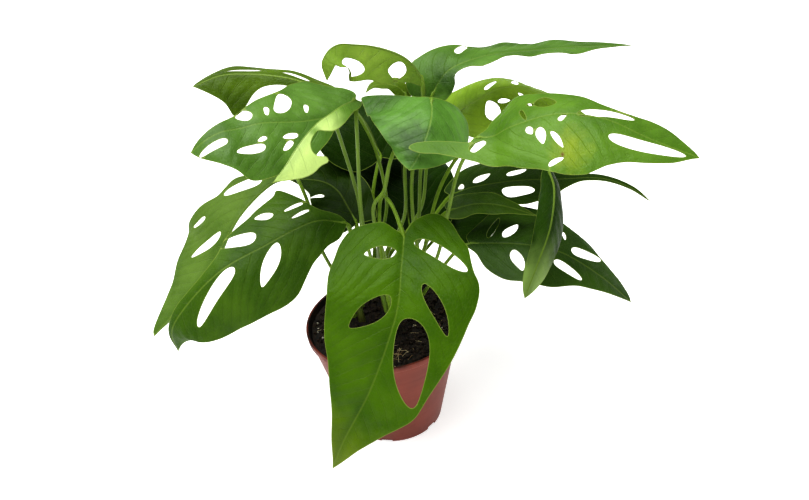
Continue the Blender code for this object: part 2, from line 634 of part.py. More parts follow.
        "leaf_back_right",
        rib=[(58, 62, 130), (80, 92, 136), (100, 122, 126), (114, 146, 106), (118, 156, 87)],
        face=[(0, -0.2, 0.97)],
        width=(36, 36), fold=(-5, -5), curl=(-25, -25),
        slots=[(70, 14, 22, 8, 50), (70, -14, 22, 8, -50)],
        stalk=beside("stem_back", 97, 40) + [(30, 42, 115), (48, 56, 124)],
    ),
]


def pot(mat):
    """The thin tapered pot, turned from its profile, with drain holes and notches round its foot."""
    slope = (POT_RIM_RADIUS - POT_BASE_RADIUS) / POT_HEIGHT
    lip = POT_HEIGHT - POT_LIP_HEIGHT
    profile = [
        (0.0, POT_FLOOR), (POT_BASE_RADIUS + slope * POT_FLOOR - POT_WALL, POT_FLOOR),
        (POT_RIM_RADIUS - POT_WALL, POT_HEIGHT - RIM_ROUND), (POT_RIM_RADIUS - POT_WALL / 2, POT_HEIGHT),
        (POT_RIM_RADIUS + POT_LIP, POT_HEIGHT - RIM_ROUND), (POT_RIM_RADIUS + POT_LIP / 2, lip),
        (POT_BASE_RADIUS + slope * (lip - 1), lip - 1), (POT_BASE_RADIUS + slope, 1.0),
        (POT_BASE_RADIUS - FOOT_ROUND, 0.0), (0.0, 0.0),
    ]
    mesh = bpy.data.meshes.new("pot")
    body = bmesh.new()
    line = [body.verts.new(Vector((r, 0, z)) * MM) for r, z in profile]
    edges = [body.edges.new(pair) for pair in zip(line[:-1], line[1:])]
    bmesh.ops.spin(body, geom=line + edges, cent=(0, 0, 0), axis=(0, 0, 1), angle=math.tau,
                   steps=POT_SIDES, use_merge=True)
    bmesh.ops.remove_doubles(body, verts=body.verts, dist=1e-6)
    bmesh.ops.recalc_face_normals(body, faces=body.faces)
    body.to_mesh(mesh)
    body.free()
    obj = bpy.data.objects.new("pot", mesh)
    bpy.context.collection.objects.link(obj)
    mesh.materials.append(mat)
    for k in range(DRAIN_HOLES):
        turn = math.tau * (k + 0.5) / DRAIN_HOLES
        boolean(obj, drain_cutter(turn), "DIFFERENCE")
    for k in range(NOTCHES):
        turn = math.radians(NOTCH_START + 360 * k / NOTCHES)
        boolean(obj, notch_cutter(turn), "DIFFERENCE")
    obj.data.shade_smooth()
    obj.data.set_sharp_from_angle(angle=math.radians(SHARP_ANGLE))
    return obj


def as_cutter(obj):
    """Marks a helper that only cuts."""
    obj.hide_render = True
    obj.display_type = "WIRE"
    bpy.context.view_layer.update()
    return obj


def drain_cutter(turn):
    """An upright round cutter for one drain hole."""
    depth = POT_FLOOR + 2 * CUT_PAST
    place = Vector((math.cos(turn), math.sin(turn), 0)) * DRAIN_RING_RADIUS
    place.z = POT_FLOOR / 2
    bpy.ops.mesh.primitive_cylinder_add(vertices=DRAIN_SIDES, radius=DRAIN_RADIUS * MM,
                                        depth=depth * MM, location=place * MM)
    return as_cutter(bpy.context.object)


def notch_cutter(turn):
    """A block for one of the small notches that let water out from under the foot."""
    bpy.ops.mesh.primitive_cube_add(size=1)
    cutter = bpy.context.object
    cutter.scale = (NOTCH_DEPTH * MM, NOTCH_WIDTH * MM, 2 * NOTCH_HEIGHT * MM)
    cutter.rotation_euler = (0, 0, turn)
    outward = Vector((math.cos(turn), math.sin(turn), 0))
    cutter.location = outward * (POT_BASE_RADIUS + NOTCH_DEPTH / 2 - NOTCH_BITE) * MM
    return as_cutter(cutter)


def soil_height(x, y):
    """The height of the soil's top: a low mound with lumps."""
    r = math.hypot(x, y) / POT_RIM_RADIUS
    lumps = math.sin(0.21 * x + 1.3) * math.cos(0.17 * y - 0.4) + 0.6 * math.sin(0.37 * y + 0.29 * x)
    return SOIL_EDGE_HEIGHT + SOIL_MOUND * (1 - r * r) + SOIL_LUMP * lumps * (1 - r**4)


def soil(mat):
    """The soil fills the pot, clear of its wall, with a plain socket for each stem."""
    slope = (POT_RIM_RADIUS - POT_BASE_RADIUS) / POT_HEIGHT
    low = POT_FLOOR + GAP
    low_radius = POT_BASE_RADIUS + slope * low - POT_WALL - GAP - SOIL_INSET
    high_radius = POT_BASE_RADIUS + slope * SOIL_EDGE_HEIGHT - POT_WALL - GAP - SOIL_INSET
    rings = [(low_radius, None)]
    rings += [(high_radius * (SOIL_RINGS - k) / SOIL_RINGS, k) for k in range(SOIL_RINGS)]
    points, faces = [], []
    for radius, ring in rings:
        for k in range(SOIL_SIDES):
            turn = math.tau * k / SOIL_SIDES
            x, y = radius * math.cos(turn), radius * math.sin(turn)
            points.append((x, y, low if ring is None else soil_height(x, y)))
    points.append((0, 0, soil_height(0, 0)))
    for ring in range(len(rings) - 1):
        for k in range(SOIL_SIDES):
            a, b = ring * SOIL_SIDES + k, ring * SOIL_SIDES + (k + 1) % SOIL_SIDES
            faces.append((a, b, b + SOIL_SIDES, a + SOIL_SIDES))
    last = (len(rings) - 1) * SOIL_SIDES
    faces += [(last + k, last + (k + 1) % SOIL_SIDES, len(points) - 1) for k in range(SOIL_SIDES)]
    faces.append(tuple(range(SOIL_SIDES))[::-1])
    obj = mesh_object("soil", points, faces, mat)
    for values in STEMS.values():
        foot, _ = stem_axis(values, values["foot"][2])
        above, _ = stem_axis(values, SOIL_EDGE_HEIGHT + SOCKET_ABOVE)
        foot = foot - unit(above - foot) * GAP
        radius = values["radius"][0] + GAP + SOCKET_EASE
        cutter = tube("socket", [foot, above], [radius, radius], STEM_SIDES, mat)
        boolean(obj, as_cutter(cutter), "DIFFERENCE")
    return obj


def stem(name, values, mat):
    """A short stem, drawn out to a furled growing tip."""
    foot, top = np.array(values["foot"], float), np.array(values["top"], float)
    tip = top + unit(top - foot) * STEM_TIP
    shares = np.arange(STEM_RINGS + 1) / STEM_RINGS
    line = np.vstack([foot + (top - foot) * share for share in shares] + [(top + tip) / 2, tip])
    low, high = values["radius"]
    radii = [low + (high - low) * share for share in shares]
    radii += [high * STEM_TIP_SHOULDER, STEM_TIP_RADIUS]
    return tube(name, line, radii, STEM_SIDES, mat)


def build_leaf(values, leaf_mat):
    obj = blade(values, leaf_mat)
    boolean(obj, stalk(values, leaf_mat), "UNION")
    obj.data.shade_smooth()
    return obj


def main():
    clear_scene()
    terracotta = material("terracotta coloured plastic", (0.36, 0.10, 0.055), 0.5)
    earth = material("dark potting soil", (0.02, 0.014, 0.01), 0.95)
    green_stem = material("green stem", (0.16, 0.26, 0.05), 0.5)
    pot(terracotta)
    soil(earth)
    for name, values in STEMS.items():
        stem(name, values, green_stem)
    for values in LEAVES:
        name = values["name"]
        green = YOUNG_GREEN if name in YOUNG else SHADED_GREEN if name in SHADED else LEAF_GREEN
        build_leaf(values, material(name + " green", green, 0.4))


if __name__ == "__main__":
    main()
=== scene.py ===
# %% [markdown]
# # A young Swiss cheese plant in its nursery pot
# The plant is Monstera adansonii. Its leaves hang on long stalks and have oval holes between their side
# veins. It stands in the thin terracotta coloured plastic pot that such plants are sold in. The solid part
# is loaded first and stays fixed. Finer leaves, stems, soil and pot are then built on it, piece by piece.

# %% Set up
import math

import bmesh
import bpy
import numpy as np
from mathutils import Matrix, Vector
from mathutils.geometry import delaunay_2d_cdt


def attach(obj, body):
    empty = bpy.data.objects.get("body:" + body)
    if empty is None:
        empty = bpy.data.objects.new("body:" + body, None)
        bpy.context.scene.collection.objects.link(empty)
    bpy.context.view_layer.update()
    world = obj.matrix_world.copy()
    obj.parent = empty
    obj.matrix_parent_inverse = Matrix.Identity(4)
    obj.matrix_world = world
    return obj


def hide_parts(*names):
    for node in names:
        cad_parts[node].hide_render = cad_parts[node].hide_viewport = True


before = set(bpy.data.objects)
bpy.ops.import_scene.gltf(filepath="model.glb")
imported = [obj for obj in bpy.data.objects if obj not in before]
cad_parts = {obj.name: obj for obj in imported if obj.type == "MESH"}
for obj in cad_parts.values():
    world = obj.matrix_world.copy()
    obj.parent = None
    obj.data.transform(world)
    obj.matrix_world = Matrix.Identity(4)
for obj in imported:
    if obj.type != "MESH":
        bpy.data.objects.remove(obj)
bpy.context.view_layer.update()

MM = 0.001

# %% [markdown]
# ## Curves and small tools
# A leaf's edge and a stalk both bend without corners. Each is told by a few points, and a smooth curve is
# drawn through them. The same few helpers measure distances along a curve and the way it points.

# %% Curves
RIPPLE_WAVES = 5
RIPPLE_SIZES = (0.6, 1.5)


def smooth_line(points, step):
    """Points about one step apart on a Catmull-Rom curve through the given points."""
    p = np.asarray(points, float)
    p = np.vstack([2 * p[0] - p[1], p, 2 * p[-1] - p[-2]])
    out = []
    for a, b, c, d in zip(p[:-3], p[1:-2], p[2:-1], p[3:]):
        count = max(1, round(np.linalg.norm(c - b) / step))
        for t in np.arange(count) / count:
            out.append(
                0.5 * (2 * b + (c - a) * t + (2 * a - 5 * b + 4 * c - d) * t**2
                       + (3 * b - a - 3 * c + d) * t**3)
            )
    out.append(p[-2])
    return np.array(out)


def along(line):
    """The distance from the start at each point of a line."""
    return np.concatenate([[0.0], np.cumsum(np.linalg.norm(np.diff(line, axis=0), axis=1))])


def unit(v):
    """Each vector shortened or stretched to length 1."""
    return v / np.linalg.norm(v, axis=-1, keepdims=True)


def smoothstep(low, high, value):
    """0 below low, 1 above high and a soft ramp between."""
    share = np.clip((value - low) / (high - low), 0, 1)
    return share * share * (3 - 2 * share)


def ripple(points, scale, seed):
    """A smooth, uneven field between about -1 and 1, from a few sine waves that cross one another."""
    rng = np.random.default_rng(seed)
    total = np.zeros(len(points))
    for _ in range(RIPPLE_WAVES):
        turn, phase = rng.uniform(0, math.tau, 2)
        size = scale * rng.uniform(*RIPPLE_SIZES)
        course = points[:, 0] * math.cos(turn) + points[:, 1] * math.sin(turn)
        total += np.sin(course * math.tau / size + phase)
    return total / (RIPPLE_WAVES / 2)


print("curve at half way:", smooth_line([(0, 0), (10, 0), (20, 10)], 5.0)[2].round(2))

# %% [markdown]
# ## The flat leaf
# A real blade is a thin sheet with a smooth edge, a pointed tip, a notch behind the stalk and oval holes
# between its side veins. It is drawn flat, where its edge and holes are easy to place, and split into
# small triangles. No mesh operator gives such a holed sheet laid along a curve, so its points and
# triangles are listed here.

# %% Edge and holes
NOTCH_BACK = 1.5
SLOT_POINTS = 14
SLOT_TAPER = 0.25
SLOT_WOBBLE = 0.16


def outline_of(leaf, step):
    """The leaf's edge as a closed loop: up the left side to the tip and back down the right."""
    length = leaf["length"]
    left = [(-NOTCH_BACK, 0.0)] + [(x, w) for x, w in leaf["left"]] + [(length, 0.0)]
    right = [(-NOTCH_BACK, 0.0)] + [(x, -w) for x, w in leaf["right"]] + [(length, 0.0)]
    up = smooth_line(left, step)
    down = smooth_line(right, step)[::-1]
    return np.vstack([up[:-1], down[:-1]])[::-1]


def slot_loop(slot):
    """A hole between two side veins: a long oval, narrower at its outer end and a little uneven."""
    x, y, length, width, turn = slot
    count = max(SLOT_POINTS, int(length))
    t = np.arange(count) / count * math.tau
    u = np.cos(t) * length / 2
    v = np.sin(t) * width / 2 * (1 - SLOT_TAPER * np.cos(t)) * (1 + SLOT_WOBBLE * np.sin(2 * t + x))
    c, s = math.cos(math.radians(turn)), math.sin(math.radians(turn))
    return np.stack([x + u * c - v * s, y + u * s + v * c], -1)


print(len(slot_loop((0, 0, 20, 8, 0))), "points round a hole of 20 mm")

# %% [markdown]
# ## Points on the blade
# A blade that bends smoothly needs points all over it. Rows drawn in from the edge would be pulled apart
# by the holes. An even grid stays regular, and two small tests tell which of its points lie on the blade
# and how far they are from an edge.

# %% Points on the blade
ROW_SHARE = 0.87


def inside(points, loop):
    """Which points lie inside a closed loop, by counting the edges to their right."""
    x, y = points[:, 0, None], points[:, 1, None]
    x0, y0 = loop[:, 0], loop[:, 1]
    x1, y1 = np.roll(x0, -1), np.roll(y0, -1)
    spans = (y0 > y) != (y1 > y)
    rise = np.where(y1 == y0, 1.0, y1 - y0)
    return ((spans & (x < x0 + (y - y0) * (x1 - x0) / rise)).sum(axis=1) % 2) == 1


def distance_to(points, loop):
    """The distance from each point to the nearest edge of a closed loop."""
    a, b = loop, np.roll(loop, -1, axis=0)
    edge = b - a
    away = points[:, None] - a
    share = np.clip((away * edge).sum(-1) / (edge**2).sum(-1), 0, 1)
    return np.linalg.norm(away - share[..., None] * edge, axis=-1).min(axis=1)


def spread_points(low, high, step):
    """Points of an even triangular grid that fills a box."""
    grid = []
    for row, x in enumerate(np.arange(low[0], high[0], step * ROW_SHARE)):
        start = low[1] + step * (row % 2) / 2
        grid.extend((x, y) for y in np.arange(start, high[1], step))
    return np.array(grid)


print(len(spread_points((0, 0), (20, 20), 2.0)), "grid points on a square of 20 mm")

# %% [markdown]
# ## The blade as triangles
# A Delaunay triangulation joins the edge, the holes, the midrib and the grid in well shaped triangles. It
# fills the holes too, so each triangle whose middle lies in a hole is dropped again. A small made-up leaf
# tries it out.

# %% Triangles of the blade
EDGE_STEP = 1.5
INSIDE_STEP = 2.1
CLEAR_SHARE = 0.45
NOTCH_REACH = 5.0
WELD = 1e-5
SMALL_LEAF = dict(name="small", rib=[(0, 0, 0), (20, 0, 4), (40, 0, 0)], face=[(0, 0, 1)], length=41.0,
                  left=[(8, 12), (20, 10)], right=[(8, 12), (20, 10)], fold=(10, 10), curl=(-20, -20),
                  wave=(2, 1, 0), slots=[(22, 4, 8, 3, 0)])


def flat_leaf(leaf):
    """The flat blade as points, triangles and each point's distance to the nearest edge."""
    edge = outline_of(leaf, EDGE_STEP)
    slots = [slot_loop(slot) for slot in leaf["slots"]]
    rib_x = np.arange(1, int(leaf["length"] / INSIDE_STEP)) * INSIDE_STEP
    rib = np.stack([rib_x, np.zeros(len(rib_x))], -1)
    grid = spread_points(edge.min(axis=0), edge.max(axis=0), INSIDE_STEP)
    away = distance_to(grid, edge)
    keep = inside(grid, edge)
    for loop in slots:
        keep &= ~inside(grid, loop)
        away = np.minimum(away, distance_to(grid, loop))
    keep &= (away > INSIDE_STEP * CLEAR_SHARE) & (np.abs(grid[:, 1]) > INSIDE_STEP * CLEAR_SHARE)
    points, links = [], []
    for loop in [edge] + slots:
        first = len(points)
        points.extend(loop)
        links.extend((first + i, first + (i + 1) % len(loop)) for i in range(len(loop)))
    tip = int(np.argmax(edge[:, 0]))
    past_notch = edge[:, 0] > NOTCH_REACH
    notch = int(np.argmin(np.where(past_notch, np.inf, np.abs(edge[:, 1]))))
    chain = [notch] + list(range(len(points), len(points) + len(rib))) + [tip]
    points.extend(rib)
    links.extend(zip(chain[:-1], chain[1:]))
    points.extend(grid[keep])
    found = delaunay_2d_cdt([Vector(p) for p in points], links, [], 0, WELD)
    flat = np.array([tuple(v) for v in found[0]])
    faces = np.array([tuple(f) for f in found[2]])
    middle = flat[faces].mean(axis=1)
    keep = inside(middle, edge)
    for loop in slots:
        keep &= ~inside(middle, loop)
    faces = faces[keep]
    a, b, c = flat[faces[:, 0]], flat[faces[:, 1]], flat[faces[:, 2]]
    turn = (b[:, 0] - a[:, 0]) * (c[:, 1] - a[:, 1]) - (b[:, 1] - a[:, 1]) * (c[:, 0] - a[:, 0])
    faces[turn < 0] = faces[turn < 0][:, ::-1]
    used, faces = np.unique(faces, return_inverse=True)
    flat = flat[used]
    away = distance_to(flat, edge)
    for loop in slots:
        away = np.minimum(away, distance_to(flat, loop))
    return flat, faces.reshape(-1, 3), away


print(len(flat_leaf(SMALL_LEAF)[1]), "triangles in a small leaf")

# %% [markdown]
# ## The leaf laid in space
# The midrib is a curve from the stalk to the drooping tip. Each half folds at the midrib, curls down
# towards its edge and waves a little. The upper skin sits in shallow furrows along the side veins and
# puffs up between them, which is what makes the light break on a real blade.

# %% The leaf in space
VEIN_SPACING = 11.0
VEIN_LEAN = 0.7
VEIN_BOW = 0.012
VEIN_STAGGER = 0.3
PUFF = 0.6
PUFF_LEVEL = 0.4
FURROW = 0.5
FURROW_WIDTH = 1.6
SWELL = 0.35
SWELL_SIZE = 30.0
CALM_RIB = 9.0
CALM_EDGE = 6.0
RIB_STEP = 2.0
NORMAL_STEP = 0.6
WAVE_STAGGER = 0.37
FLATTEST = 1e-6


def rib_frame(leaf, x):
    """Place, direction, left side and upper side of the midrib at a distance along it."""
    line = smooth_line(leaf["rib"], RIB_STEP)
    far = along(line)
    inner = np.clip(x, 0, far[-1])
    place = np.stack([np.interp(inner, far, line[:, i]) for i in range(3)], -1)
    course = unit(np.gradient(line, far, axis=0))
    forward = unit(np.stack([np.interp(inner, far, course[:, i]) for i in range(3)], -1))
    place = place + forward * (x - inner)[:, None]
    faces = unit(np.array(leaf["face"], float))
    share = np.clip(x / far[-1], 0, 1) * (len(faces) - 1)
    up = np.stack([np.interp(share, np.arange(len(faces)), faces[:, i]) for i in range(3)], -1)
    up = unit(up - forward * (up * forward).sum(-1, keepdims=True))
    return place, forward, np.cross(up, forward), up


def laid(leaf, flat):
    """The flat points in space: the halves fold at the midrib, curl towards their edges and wave."""
    x, y = flat[:, 0], flat[:, 1]
    place, _, side, up = rib_frame(leaf, x)
    share = np.clip(x / leaf["length"], 0, 1)
    out, rise = np.zeros(len(x)), np.zeros(len(x))
    for sign, index in ((1, 0), (-1, 1)):
        here = (y * sign) >= 0
        wide = max(w for _, w in leaf["left" if index == 0 else "right"])
        s = np.abs(y[here])
        start = math.radians(leaf["fold"][index])
        bend = np.full(len(s), math.radians(leaf["curl"][index]) / wide)
        bend[np.abs(bend) < FLATTEST] = FLATTEST
        end = start + bend * s
        out[here] = sign * (np.sin(end) - math.sin(start)) / bend
        rise[here] = (math.cos(start) - np.cos(end)) / bend
        count, height, phase = leaf["wave"]
        wave = np.sin(math.tau * (count * share[here] + phase + WAVE_STAGGER * index))
        rise[here] += height * wave * (s / wide) ** 2
    return place + side * out[:, None] + up * rise[:, None]


def surface_normals(leaf, flat):
    """The upper side's direction at each flat point, from small steps along and across."""
    ahead = laid(leaf, flat + (NORMAL_STEP, 0)) - laid(leaf, flat - (NORMAL_STEP, 0))
    left = laid(leaf, flat + (0, NORMAL_STEP)) - laid(leaf, flat - (0, NORMAL_STEP))
    return unit(np.cross(ahead, left))


def relief(leaf, flat, away):
    """How far the skin stands above the plain leaf: puffed between side veins, sunk along the midrib."""
    out = np.abs(flat[:, 1])
    phase = (flat[:, 0] - VEIN_LEAN * out - VEIN_BOW * out**2) / VEIN_SPACING
    phase += VEIN_STAGGER * (flat[:, 1] > 0)
    puff = 0.5 - 0.5 * np.cos(math.tau * phase)
    free = smoothstep(1.0, CALM_RIB, out) * smoothstep(0.0, CALM_EDGE, away)
    furrow = FURROW * np.exp(-((out / FURROW_WIDTH) ** 2))
    swell = SWELL * ripple(flat, SWELL_SIZE, len(leaf["name"]))
    return (PUFF * (puff - PUFF_LEVEL) + swell) * free - furrow


print("20 mm along and 10 mm out lies at", laid(SMALL_LEAF, np.array([(20.0, 10.0)])).round(1)[0])

# %% [markdown]
# ## Where the stalks start
# The plant is a few rooted cuttings in one pot. Each short stem carries several stalks, which start beside
# it at their own heights and bearings.

# %% Stems and stalk starts
GAP = 0.3
CORNER = 0.25
STALK_BASE_RADIUS = 2.1
STALK_RISE = 12
STALK_LEAVING = 2.2
STEM_FLAT = math.cos(math.pi / 8)
STALK_FLAT = math.cos(math.pi / 6)

# Each stem: the foot and the top of its axis, and its radius at the foot and near the top
STEMS = {
    "stem_front": dict(foot=(6, -13, 69.8), top=(9, -16, 132), radius=(3.2, 2.4)),
    "stem_left": dict(foot=(-15, 2, 69.8), top=(-21, 4, 140), radius=(3.2, 2.4)),
    "stem_right": dict(foot=(20, 3, 69.8), top=(27, 5, 142), radius=(3.2, 2.4)),
    "stem_back": dict(foot=(2, 19, 69.8), top=(4, 24, 146), radius=(3.4, 2.5)),
}


def stem_axis(stem, height):
    """The axis point at a height, and the stem's radius there."""
    foot, top = np.array(stem["foot"], float), np.array(stem["top"], float)
    share = (height - foot[2]) / (top[2] - foot[2])
    low, high = stem["radius"]
    return foot + (top - foot) * share, low + (high - low) * share


def beside(stem_name, height, bearing):
    """Two points for the start of a stalk that grows from a stem, on the side of the bearing."""
    stem = STEMS[stem_name]
    turn = math.radians(bearing)
    outward = np.array([math.cos(turn), math.sin(turn), 0.0])
    centre, radius = stem_axis(stem, height)
    first = centre + outward * (radius * STEM_FLAT + STALK_BASE_RADIUS * STALK_FLAT + GAP + CORNER)
    above, radius = stem_axis(stem, height + STALK_RISE)
    second = above + outward * (radius + STALK_BASE_RADIUS + STALK_LEAVING)
    return [tuple(first), tuple(second)]


def plain_side(length, width):
    """One side of an ordinary leaf: a rounded lobe behind the stalk, widest early, then a long point."""
    shape = [(-0.05, 0.30), (-0.045, 0.62), (0.08, 0.93), (0.27, 1.0), (0.48, 0.86), (0.68, 0.55),
             (0.84, 0.24), (0.93, 0.08)]
    return [(x * length, w * width) for x, w in shape]


def leaf(name, rib, face, width=(30, 30), **values):
    """One leaf's values. Where its edges aren't given they come from its length and two half-widths."""
    length = float(along(smooth_line(rib, RIB_STEP))[-1])
    entry = dict(name=name, rib=rib, face=face, length=length, slots=[])
    entry.update(fold=(0, 0), curl=(0, 0), wave=(2.5, 1.2, 0.1))
    entry["left"] = plain_side(length, width[0])
    entry["right"] = plain_side(length, width[1])
    entry.update(values)
    return entry


print("a stalk starts at", np.round(beside("stem_front", 100, -100)[0], 1))

# %% [markdown]
# ## The leaves' table
# Each leaf is told by its midrib's points in millimetres, the side its upper face turns to, the points of
# its two edges as distances along and out, its holes, and how far each half folds and curls. These are the
# same values that the solid part was made from, so the fine leaves keep the form of the plain ones.

